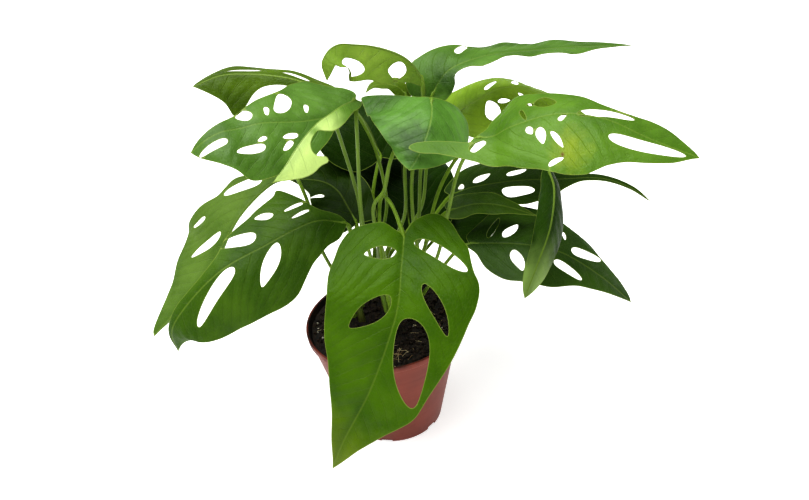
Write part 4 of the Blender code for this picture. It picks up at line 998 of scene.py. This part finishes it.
def spot_share(f, at, along_rib, across, size):
    """A ragged round patch at a place on the leaf."""
    flat = f.stretched(at, (1.0, 1.0, 0.0))
    away = f.node("ShaderNodeVectorMath", {0: flat, 1: (along_rib, across, 0.0)}, operation="DISTANCE")
    ragged = f.times(f.less(f.noise(at, 0.09, 3.0), 0.5), size * PATCH_RAGGED)
    ragged = f.plus(away.outputs["Value"], ragged)
    return f.soft(ragged, size * 0.1, size * 1.3, 0.85, 0.0)


print("the veins' pale green as light:", [round(v, 3) for v in PALE_GREEN])

# %% [markdown]
# ## Each leaf's own green
# Young leaves are yellower and let more light through; shaded ones are painted darker and duller for their
# shade. A few carry patches: a painted shadow from a leaf above, a painted highlight where a fold catches
# the light, a yellow blotch with a brown spot.
# The values were found by setting renders beside the photograph, leaf by leaf.

# %% Leaf looks
# The first two greens are painted light: a shadow cast by a leaf above, and a highlight where a fold
# catches the light.
SHADE_GREEN = seen(34, 66, 8)
FOLD_HIGHLIGHT_GREEN = seen(112, 152, 56)
YELLOW_BLOTCH = seen(142, 164, 34)
BROWN_SPOT = seen(110, 70, 24)

# Painted shade: leaf_left_shade, leaf_right_far and the three back leaves get very dark greens for the
# shade of the canopy above them.
LOOKS = {
    "leaf_front": dict(dark=seen(52, 88, 2), light=seen(80, 118, 4), glow=0.22, shine=0.15,
                       tip=(seen(118, 140, 12), 120, 190)),
    "leaf_left_low": dict(dark=seen(48, 82, 8), light=seen(80, 114, 24), glow=0.22, shine=0.15),
    "leaf_left_far": dict(dark=seen(70, 102, 26), light=seen(102, 132, 52), glow=0.25),
    "leaf_left_shade": dict(dark=seen(22, 42, 4), light=seen(40, 64, 8), glow=0.15, shine=0.08),
    "leaf_upper_left": dict(dark=seen(68, 106, 28), light=seen(102, 142, 56), glow=0.30, coat=0.15),
    "leaf_top_left": dict(dark=seen(58, 84, 6), light=seen(92, 122, 16), glow=0.32),
    # The curled leaf's pale tip is partly its young lime green and partly a painted highlight.
    "leaf_curled": dict(dark=seen(84, 124, 34), light=seen(124, 164, 66), glow=0.25, coat=0.2,
                        tip=(seen(206, 232, 144), 18, 56),
                        patches=[(FOLD_HIGHLIGHT_GREEN, 34.0, -3.0, 5.0), (FOLD_HIGHLIGHT_GREEN, 58.0, 3.0, 5.0)]),
    "leaf_top_arched": dict(dark=seen(122, 158, 48), light=seen(160, 190, 84), glow=0.45),
    "leaf_top_right": dict(dark=seen(60, 96, 22), light=seen(94, 134, 50), glow=0.25,
                           patches=[(SHADE_GREEN, 16.0, -8.0, 14.0)]),
    "leaf_right": dict(dark=seen(72, 112, 22), light=seen(104, 144, 44), glow=0.30,
                       patches=[(YELLOW_BLOTCH, 66.0, -27.0, 17.0), (BROWN_SPOT, 60.0, -30.0, 2.2)]),
    "leaf_right_behind": dict(dark=seen(108, 144, 26), light=seen(146, 178, 60), glow=0.42),
    "leaf_centre": dict(dark=seen(60, 102, 22), light=seen(104, 152, 62), glow=0.14, sheen=0.4, coat=0.1,
                        patches=[(SHADE_GREEN, 44.0, -9.0, 20.0)]),
    "leaf_right_low": dict(dark=seen(40, 70, 10), light=seen(66, 100, 22), glow=0.22),
    "leaf_hanging": dict(dark=seen(24, 50, 4), light=seen(50, 82, 14), glow=0.22, shine=0.1,
                         tip=(seen(138, 168, 86), 58, 92)),
    "leaf_right_far": dict(dark=seen(32, 58, 6), light=seen(52, 80, 14), glow=0.15, shine=0.1),
    "leaf_right_middle": dict(dark=seen(44, 72, 10), light=seen(76, 106, 28), glow=0.2, shine=0.12),
    "leaf_top_small": dict(dark=seen(84, 114, 18), light=seen(116, 146, 36), glow=0.35),
    "leaf_back_left": dict(dark=seen(18, 38, 3), light=seen(34, 60, 8), glow=0.12, shine=0.06),
    "leaf_back_middle": dict(dark=seen(14, 32, 3), light=seen(28, 54, 6), glow=0.1, shine=0.06),
    "leaf_back_right": dict(dark=seen(26, 50, 6), light=seen(46, 76, 14), glow=0.2, shine=0.08),
}

# %% [markdown]
# ## Growing the leaves
# Every leaf is one piece: blade, midrib and stalk. It rides the plant, stands in for its plain solid and
# wears its own green: young leaves are yellower, and shaded ones are painted darker for their shade.

# %% Leaves
def grow(leaf):
    """Builds one fine leaf, with its material, and puts it in the place of its solid."""
    name = leaf["name"]
    finish = leaf_finish(name.replace("_", " "), **LOOKS[name])
    points, faces, spots, marks = joined(blade_shell(leaf), stalk_shell(leaf))
    piece = fine_object("fine_" + name, points, faces, finish, leaf_at=spots, leaf_marks=marks)
    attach(piece, "root")
    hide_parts(name)
    return piece


grown = [grow(leaf) for leaf in LEAVES]
print(len(grown), "leaves with", sum(len(piece.data.polygons) for piece in grown), "faces")

# %% [markdown]
# ## The stems
# The cuttings' stems are short, a little knotted where old leaves sat, and end in a furled growing tip.
# Their skin is green, browner and corky at the foot.

# %% Stems
STEM_TIP = 22.0
STEM_STEP = 1.5
STEM_SIDES = 16
KNOT_SPACING = 11.0
KNOT_RISE = 0.14
STEM_TIP_RADIUS = 0.3


def stem_finish():
    """Green, streaked along the stem and corky at the foot."""
    f = Finish("green stem")
    height = f.parts(f.place())[2]
    streaks = f.noise(f.stretched(f.place(), (700.0, 700.0, 90.0)), 1.0, 3.0)
    green = f.mix(streaks, seen(86, 110, 36), seen(136, 158, 62))
    cork = f.soft(f.plus(height, f.times(streaks, 0.02)), 0.095, 0.125, 0.8, 0.0)
    colour = f.mix(cork, green, seen(104, 84, 52))
    rough = f.soft(streaks, 0.3, 0.7, 0.42, 0.6)
    f.wear(Base_Color=colour, Roughness=rough, Normal=f.bump(streaks, 0.4, 0.0004))
    return f.material


def build_stem(name, finish):
    """One stem with its knots and furled tip, in the place of its solid."""
    values = STEMS[name]
    foot, top = np.array(values["foot"], float), np.array(values["top"], float)
    length = np.linalg.norm(top - foot)
    ahead = (top - foot) / length
    far = np.arange(0, length + STEM_TIP, STEM_STEP)
    share = np.clip(far / length, 0, 1)
    radii = values["radius"][0] + (values["radius"][1] - values["radius"][0]) * share
    knots = np.exp(-((far % KNOT_SPACING) - KNOT_SPACING / 2) ** 2)
    radii = radii * (0.985 - 0.03 * share) + KNOT_RISE * knots * (share < 1)
    tip = np.clip((far - length) / STEM_TIP, 0, 1)
    radii = radii * (1 - tip**1.4) + STEM_TIP_RADIUS * tip
    line = foot + ahead * far[:, None]
    points, faces = tube_shell(line, radii, STEM_SIDES)
    piece = fine_object("fine_" + name, points, faces, finish)
    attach(piece, "root")
    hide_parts(name)
    return piece


stem_green = stem_finish()
print([len(build_stem(name, stem_green).data.polygons) for name in STEMS], "faces in the stems")

# %% [markdown]
# ## The soil
# The potting mix is dark peat with coarse crumbs, a few pale coconut fibres and white perlite grains. The
# fine top keeps the mound of the plain solid. Crumbs, fibres and grains are part of the same piece.

# %% Soil mound
POT_HEIGHT = 95.0
POT_RIM_RADIUS = 60.0
POT_BASE_RADIUS = 38.5
POT_WALL = 1.2
POT_FLOOR = 1.6
SOIL_EDGE_HEIGHT = 89.5
SOIL_MOUND = 4.5
SOIL_LUMP = 0.9
SOIL_GAP = 0.5
SOIL_SIDES = 180
SOIL_RINGS = 56
SOIL_ROUGHNESS = [(0.55, 7.0, 4), (0.35, 3.2, 5), (0.25, 1.9, 6)]


def pot_slope():
    """How much the pot's radius grows with each millimetre of height."""
    return (POT_RIM_RADIUS - POT_BASE_RADIUS) / POT_HEIGHT


def soil_height(x, y):
    """The height of the soil's top: a low mound with lumps."""
    r = np.hypot(x, y) / POT_RIM_RADIUS
    lumps = np.sin(0.21 * x + 1.3) * np.cos(0.17 * y - 0.4) + 0.6 * np.sin(0.37 * y + 0.29 * x)
    return SOIL_EDGE_HEIGHT + SOIL_MOUND * (1 - r * r) + SOIL_LUMP * lumps * (1 - r**4)


def soil_body():
    """The mass of soil, closed below, with a finely lumped top."""
    low = POT_FLOOR + 0.4
    radius_low = POT_BASE_RADIUS + pot_slope() * low - POT_WALL - SOIL_GAP
    radius_high = POT_BASE_RADIUS + pot_slope() * SOIL_EDGE_HEIGHT - POT_WALL - SOIL_GAP
    turns = math.tau * np.arange(SOIL_SIDES) / SOIL_SIDES
    circle = np.stack([np.cos(turns), np.sin(turns)], -1)
    levels = [np.column_stack([circle * radius_low, np.full(SOIL_SIDES, low)])]
    for ring in range(SOIL_RINGS):
        flat = circle * radius_high * (SOIL_RINGS - ring) / SOIL_RINGS
        rough = sum(height * ripple(flat, size, seed) for height, size, seed in SOIL_ROUGHNESS)
        levels.append(np.column_stack([flat, soil_height(flat[:, 0], flat[:, 1]) + rough]))
    levels.append(np.array([[0.0, 0.0, float(soil_height(0.0, 0.0))]]))
    points = np.vstack(levels)
    faces = [tuple(range(SOIL_SIDES))[::-1]]
    for ring in range(SOIL_RINGS):
        for k in range(SOIL_SIDES):
            a, b = ring * SOIL_SIDES + k, ring * SOIL_SIDES + (k + 1) % SOIL_SIDES
            faces.append((a, b, b + SOIL_SIDES, a + SOIL_SIDES))
    last = SOIL_RINGS * SOIL_SIDES
    faces += [(last + k, last + (k + 1) % SOIL_SIDES, last + SOIL_SIDES) for k in range(SOIL_SIDES)]
    return points, faces, np.zeros((len(points), 3))


print("the soil's middle is", round(float(soil_height(0.0, 0.0)), 1), "mm high")

# %% [markdown]
# ## Crumbs, grains and fibres
# Loose bits catch the light and roughen the mound. There are more than a thousand, so each is only a
# coarse ball or a thin tube. They are strewn by a seeded random draw and kept away from the stems.

# %% Loose bits
BITS_INSET = 2.6
FIBRES_INSET = 5
FIBRE_POINTS = 6
FIBRE_SIDES = 4
FIBRE_LIFT = 0.7
FIBRE_ARCH = 0.9
GRAINS = 1500
FIBRES = 90
ROOTS_EVERY = 4
ROOT_TUFT = np.array([4.0, -40.0])
ROOT_SPREAD = 5.0


def crumb_shape():
    """A coarse ball of twenty faces."""
    ball = bmesh.new()
    bmesh.ops.create_icosphere(ball, subdivisions=1, radius=1.0)
    points = np.array([v.co[:] for v in ball.verts])
    faces = [tuple(v.index for v in face.verts) for face in ball.faces]
    ball.free()
    return points, faces


def clear_of_stems(spot, margin):
    """Whether a spot on the soil keeps its distance from every stem."""
    for values in STEMS.values():
        centre, radius = stem_axis(values, 92.0)
        if np.linalg.norm(spot - centre[:2]) < radius + margin:
            return False
    return True


def random_spot(rng, reach):
    """A spot anywhere on the round top of the soil, and how far out it is."""
    turn, far = rng.uniform(0, math.tau), reach * math.sqrt(rng.uniform())
    return np.array([math.cos(turn), math.sin(turn)]) * far, far


def crumb(rng, ball, spot, size, white):
    """One crumb or grain: its points and their marks."""
    shape = ball * rng.uniform(0.7, 1.3, 3) * size + rng.normal(0, 0.12 * size, ball.shape)
    height = float(soil_height(*spot)) + size * 0.35
    return shape + (*spot, height), np.tile([0.0, float(white), rng.uniform()], (len(ball), 1))


def fibre(rng, spot):
    """One short bent fibre that lies on the soil: its points, faces and marks."""
    heading, bend, length = rng.uniform(0, math.tau), rng.uniform(-0.5, 0.5), rng.uniform(3, 8)
    steps = np.arange(FIBRE_POINTS) / (FIBRE_POINTS - 1)
    course = heading + bend * steps
    flat = spot + np.stack([np.cos(course), np.sin(course)], -1) * (length * (steps - 0.5))[:, None]
    arch = FIBRE_ARCH * np.sin(steps * math.pi) * rng.uniform(0.2, 1)
    height = soil_height(flat[:, 0], flat[:, 1]) + FIBRE_LIFT + arch
    radii = np.full(FIBRE_POINTS, rng.uniform(0.12, 0.24))
    points, faces = tube_shell(np.column_stack([flat, height]), radii, FIBRE_SIDES)
    return points, faces, np.tile([1.0, 0.0, rng.uniform()], (len(points), 1))


def loose_bits():
    """Crumbs, grains and fibres with their marks: fibre, white and shade. More are white near the rim."""
    rng = np.random.default_rng(11)
    ball, ball_faces = crumb_shape()
    shells = []
    reach = POT_BASE_RADIUS + pot_slope() * SOIL_EDGE_HEIGHT - POT_WALL - BITS_INSET
    for _ in range(GRAINS):
        spot, far = random_spot(rng, reach)
        white = rng.uniform() < (0.05 if far > 0.7 * reach else 0.012)
        size = rng.uniform(0.5, 1.0) if white else rng.uniform(0.35, 1.7) ** 1.3
        if clear_of_stems(spot, 2.6 + size):
            points, marks = crumb(rng, ball, spot, size, white)
            shells.append((points, ball_faces, marks))
    for number in range(FIBRES):
        spot, _ = random_spot(rng, reach - FIBRES_INSET)
        if number % ROOTS_EVERY == 0:
            spot = ROOT_TUFT + rng.normal(0, ROOT_SPREAD, 2)
        if clear_of_stems(spot, 9.0):
            shells.append(fibre(rng, spot))
    return shells


bits = loose_bits()
print(len(bits), "crumbs, grains and fibres")

# %% [markdown]
# ## The soil's finish
# Peat is almost black and dull, and its crumbs are a little browner. One noise makes its tone uneven, and
# two roughen its surface. The marks on the loose bits turn the fibres straw coloured and the grains white,
# so one material does for all.

# %% Soil
def soil_finish():
    """Near black peat with browner crumbs, straw coloured fibres and white grains."""
    f = Finish("dark potting soil")
    fibrous, white, shade = f.parts(f.vector("soil_marks"))
    coarse = f.noise(f.place(), 260.0, 4.0, 0.65)
    fine = f.noise(f.place(), 1400.0, 3.0)
    peat = f.mix(f.soft(coarse, 0.35, 0.7), seen(14, 11, 9), seen(52, 40, 30))
    peat = f.mix(f.times(shade, 0.35), peat, seen(78, 58, 42))
    colour = f.mix(fibrous, peat, f.mix(shade, seen(150, 120, 76), seen(224, 206, 168)))
    colour = f.mix(white, colour, seen(222, 216, 200))
    height = f.plus(coarse, f.times(fine, 0.5))
    rough = f.soft(coarse, 0.3, 0.7, 0.8, 1.0)
    f.wear(Base_Color=colour, Roughness=rough, Normal=f.bump(height, 0.8, 0.001))
    return f.material


points, faces, marks = joined(soil_body(), *bits)
soil_piece = fine_object("fine_soil", points, faces, soil_finish(), soil_marks=marks)
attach(soil_piece, "root")
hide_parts("soil")
print(len(soil_piece.data.polygons), "faces in the soil")

# %% [markdown]
# ## The pot
# The nursery pot is moulded from thin terracotta coloured plastic. Its wall tapers to a shallow foot with
# drain holes in the floor and notches round its lower edge, and its rim turns out in a narrow lip. It is
# round all the way up, so its profile is spun once, and the holes and notches are cut after that.

# %% Pot profile and cutters
LIP = 1.0
LIP_HEIGHT = 5.0
DRAIN_HOLES = 8
DRAIN_RADIUS = 3.6
DRAIN_RING_RADIUS = 27.0
DRAIN_SIDES = 28
NOTCHES = 6
NOTCH_WIDTH = 9.0
NOTCH_HEIGHT = 3.2
NOTCH_DEPTH = 6.0
NOTCH_OUT = 1.4
FIRST_NOTCH = -45


def pot_profile():
    """The pot's section, from the middle of its floor up the inside, over the rim and down the outside."""
    slope = pot_slope()
    lip = POT_HEIGHT - LIP_HEIGHT
    inner_foot = POT_BASE_RADIUS + slope * POT_FLOOR - POT_WALL
    inside_wall = [(0.0, POT_FLOOR), (inner_foot - 1.2, POT_FLOOR), (inner_foot - 0.3, POT_FLOOR + 0.3),
                   (inner_foot + 0.2, POT_FLOOR + 1.2)]
    edge = POT_RIM_RADIUS + LIP
    rim = [(POT_RIM_RADIUS - POT_WALL, POT_HEIGHT - 0.6), (POT_RIM_RADIUS - 0.95, POT_HEIGHT - 0.2),
           (POT_RIM_RADIUS - 0.5, POT_HEIGHT), (edge - 0.5, POT_HEIGHT - 0.05),
           (edge - 0.1, POT_HEIGHT - 0.3), (edge, POT_HEIGHT - 0.8),
           (edge - 0.3, lip + 0.5), (edge - 0.7, lip)]
    outside = [(POT_BASE_RADIUS + slope * height, height) for height in (lip - 0.6, 1.6, 0.6)]
    outside += [(POT_BASE_RADIUS - 0.2, 0.15), (POT_BASE_RADIUS - 0.8, 0.0), (0.0, 0.0)]
    return inside_wall + rim + outside


def cut(obj, cutter):
    """Cuts the cutter out of the object and removes it."""
    modifier = obj.modifiers.new("Cut", "BOOLEAN")
    modifier.operation = "DIFFERENCE"
    modifier.solver = "EXACT"
    modifier.object = cutter
    graph = bpy.context.evaluated_depsgraph_get()
    result = bpy.data.meshes.new_from_object(obj.evaluated_get(graph))
    obj.modifiers.clear()
    obj.data = result
    bpy.data.objects.remove(cutter, do_unlink=True)


def cutter_object(name, build):
    """A helper that a bmesh operator fills, linked to the scene only to cut with."""
    body = bmesh.new()
    build(body)
    return linked(name, mesh_of(name, body))


def drain_holes(body):
    """Eight round plugs in a ring through the floor."""
    for k in range(DRAIN_HOLES):
        turn = math.tau * (k + 0.5) / DRAIN_HOLES
        spot = Vector((math.cos(turn), math.sin(turn), 0)) * DRAIN_RING_RADIUS * MM
        made = bmesh.ops.create_cone(body, cap_ends=True, segments=DRAIN_SIDES, radius1=DRAIN_RADIUS * MM,
                                     radius2=DRAIN_RADIUS * MM, depth=8 * MM)
        bmesh.ops.translate(body, verts=made["verts"], vec=spot)


def foot_notches(body):
    """Blocks round the foot, where water runs out from under the pot."""
    for k in range(NOTCHES):
        turn = math.radians(FIRST_NOTCH + 360 * k / NOTCHES)
        made = bmesh.ops.create_cube(body, size=1)
        size = Vector((NOTCH_DEPTH, NOTCH_WIDTH, 2 * NOTCH_HEIGHT)) * MM
        bmesh.ops.scale(body, verts=made["verts"], vec=size)
        bmesh.ops.translate(body, verts=made["verts"], vec=((POT_BASE_RADIUS + NOTCH_OUT) * MM, 0, 0))
        bmesh.ops.rotate(body, verts=made["verts"], cent=(0, 0, 0), matrix=Matrix.Rotation(turn, 3, "Z"))


print(len(pot_profile()), "points in the pot's profile")

# %% [markdown]
# ## The pot's finish
# The plastic is cloudy, with faint rings round it and splashes of soil below the rim. Its inside is dirty
# where the soil has touched it. A noise at its own scale gives each of these.

# %% Pot
POT_STEPS = 160
POT_SHARP_ANGLE = 40


def pot_finish():
    """Cloudy clay coloured plastic with faint turned rings, soil marks at the rim and dirt inside."""
    f = Finish("terracotta coloured plastic")
    place = f.place()
    height = f.parts(place)[2]
    cloud = f.noise(place, 22.0, 3.0)
    fine = f.noise(place, 900.0, 2.0)
    rings = f.noise(f.stretched(place, (6.0, 6.0, 420.0)), 1.0, 3.0)
    clay = f.mix(f.soft(cloud, 0.3, 0.7), seen(110, 42, 24), seen(126, 52, 34))
    clay = f.mix(f.times(f.soft(rings, 0.4, 0.6), 0.10), clay, seen(144, 72, 52))
    grime = f.noise(place, 70.0, 5.0, 0.7)
    x, y, _ = f.parts(place)
    radius = f.math("SQRT", f.plus(f.times(x, x), f.times(y, y)))
    wall = f.plus((POT_BASE_RADIUS - POT_WALL / 2) * MM, f.times(height, pot_slope()))
    within = f.times(f.math("LESS_THAN", radius, wall), f.soft(height, 0.004, 0.02))
    near_rim = f.soft(f.less(height, f.times(x, 0.05)), 0.090, 0.0965, 0.0, 1.0)
    splash = f.plus(f.times(near_rim, 0.75), 0.08)
    dirt = f.times(f.soft(grime, 0.42, 0.62), splash)
    dirt = f.math("MAXIMUM", dirt, f.times(within, f.soft(grime, 0.2, 0.5, 0.7, 1.0)))
    colour = f.mix(dirt, clay, seen(40, 30, 28))
    rough = f.plus(f.times(cloud, 0.2), 0.38)
    rough = f.plus(rough, f.times(dirt, 0.3), clamp=True)
    relief_height = f.plus(f.times(rings, 0.6), f.times(fine, 0.4))
    f.wear(Base_Color=colour, Roughness=rough, Normal=f.bump(relief_height, 0.15, 0.0003),
           Specular_IOR_Level=0.3, Subsurface_Weight=0.06, Subsurface_Radius=(0.004, 0.0015, 0.001))
    return f.material


def build_pot():
    """The turned pot with its holes and notches cut, in the place of its solid."""
    body = bmesh.new()
    line = [body.verts.new(Vector((r, 0, z)) * MM) for r, z in pot_profile()]
    edges = [body.edges.new(pair) for pair in zip(line[:-1], line[1:])]
    bmesh.ops.spin(body, geom=line + edges, cent=(0, 0, 0), axis=(0, 0, 1), angle=math.tau, steps=POT_STEPS,
                   use_merge=True)
    bmesh.ops.remove_doubles(body, verts=body.verts, dist=1e-6)
    bmesh.ops.recalc_face_normals(body, faces=body.faces)
    obj = linked("fine_pot", mesh_of("fine_pot", body))
    obj.data.materials.append(pot_finish())
    cut(obj, cutter_object("drain cutter", drain_holes))
    cut(obj, cutter_object("notch cutter", foot_notches))
    obj.data.shade_smooth()
    obj.data.set_sharp_from_angle(angle=math.radians(POT_SHARP_ANGLE))
    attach(obj, "root")
    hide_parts("pot")
    return obj


print(len(build_pot().data.polygons), "faces in the pot")

# %% [markdown]
# ## Floor, light and camera
# The plant stands on a plain pale floor that reaches past the picture, as in a simple photo studio. A
# broad lamp hangs above it, a little to the left, and white light comes from all sides, so its shadow is
# soft. The camera looks down from the front, tilted a little, as the photograph was taken.

# %% Stage
CAMERA_PLACE = Vector((0.0, -0.583, 0.543))
CAMERA_RIGHT = Vector((0.99121, -0.09696, -0.09000))
CAMERA_UP = Vector((0.12854, 0.54514, 0.82843))
CAMERA_BACK = Vector((-0.03126, -0.83272, 0.55281))
FILM_WIDTH = 36.0
FOCAL_PIXELS = 940.0
PICTURE_PIXELS = 809.0
LENS = FOCAL_PIXELS / PICTURE_PIXELS * FILM_WIDTH
FLOOR_HALF = 6.0
FLOOR_GLOW = 0.6
LIGHT_PLACE = (-0.35, 0.1, 2.1)
LIGHT_TARGET = (0, 0.2, 0.0)
LIGHT_WIDTH = 2.4
LIGHT_POWER = 80.0
AIR_BRIGHTNESS = 0.22
WHITE = (1.0, 1.0, 1.0, 1.0)


def build_floor():
    """A wide matt floor with a glow of its own, so that the shadow on it stays pale."""
    f = Finish("pale floor")
    f.wear(Base_Color=(0.8, 0.8, 0.8), Roughness=0.9, Specular_IOR_Level=0.1, Emission_Color=WHITE,
           Emission_Strength=FLOOR_GLOW)
    body = bmesh.new()
    bmesh.ops.create_grid(body, x_segments=1, y_segments=1, size=FLOOR_HALF)
    floor = linked("floor", mesh_of("floor", body))
    floor.data.materials.append(f.material)


def soft_light(name, place, target, size, power):
    """A round lamp at a place that shines at a target."""
    lamp = bpy.data.lights.new(name, "AREA")
    lamp.shape = "DISK"
    lamp.size = size
    lamp.energy = power
    obj = linked(name, lamp)
    obj.location = place
    obj.rotation_euler = (Vector(target) - Vector(place)).to_track_quat("-Z", "Y").to_euler()


def bright_air():
    """White light from all sides."""
    world = bpy.data.worlds.new("studio")
    world.use_nodes = True
    air = world.node_tree.nodes["Background"]
    air.inputs["Color"].default_value = WHITE
    air.inputs["Strength"].default_value = AIR_BRIGHTNESS
    bpy.context.scene.world = world


def build_camera():
    """The camera where the photograph was taken from, turned as it was."""
    lens = bpy.data.cameras.new("camera")
    lens.lens = LENS
    lens.sensor_width = FILM_WIDTH
    obj = linked("camera", lens)
    turn = Matrix((CAMERA_RIGHT, CAMERA_UP, CAMERA_BACK)).transposed()
    obj.matrix_world = Matrix.Translation(CAMERA_PLACE) @ turn.to_4x4()
    bpy.context.scene.camera = obj


build_floor()
soft_light("overhead light", LIGHT_PLACE, LIGHT_TARGET, LIGHT_WIDTH, LIGHT_POWER)
bright_air()
bpy.context.scene.view_settings.view_transform = "Standard"
bpy.context.scene.view_settings.look = "Medium High Contrast"
build_camera()
print("lens", round(LENS, 1), "mm")
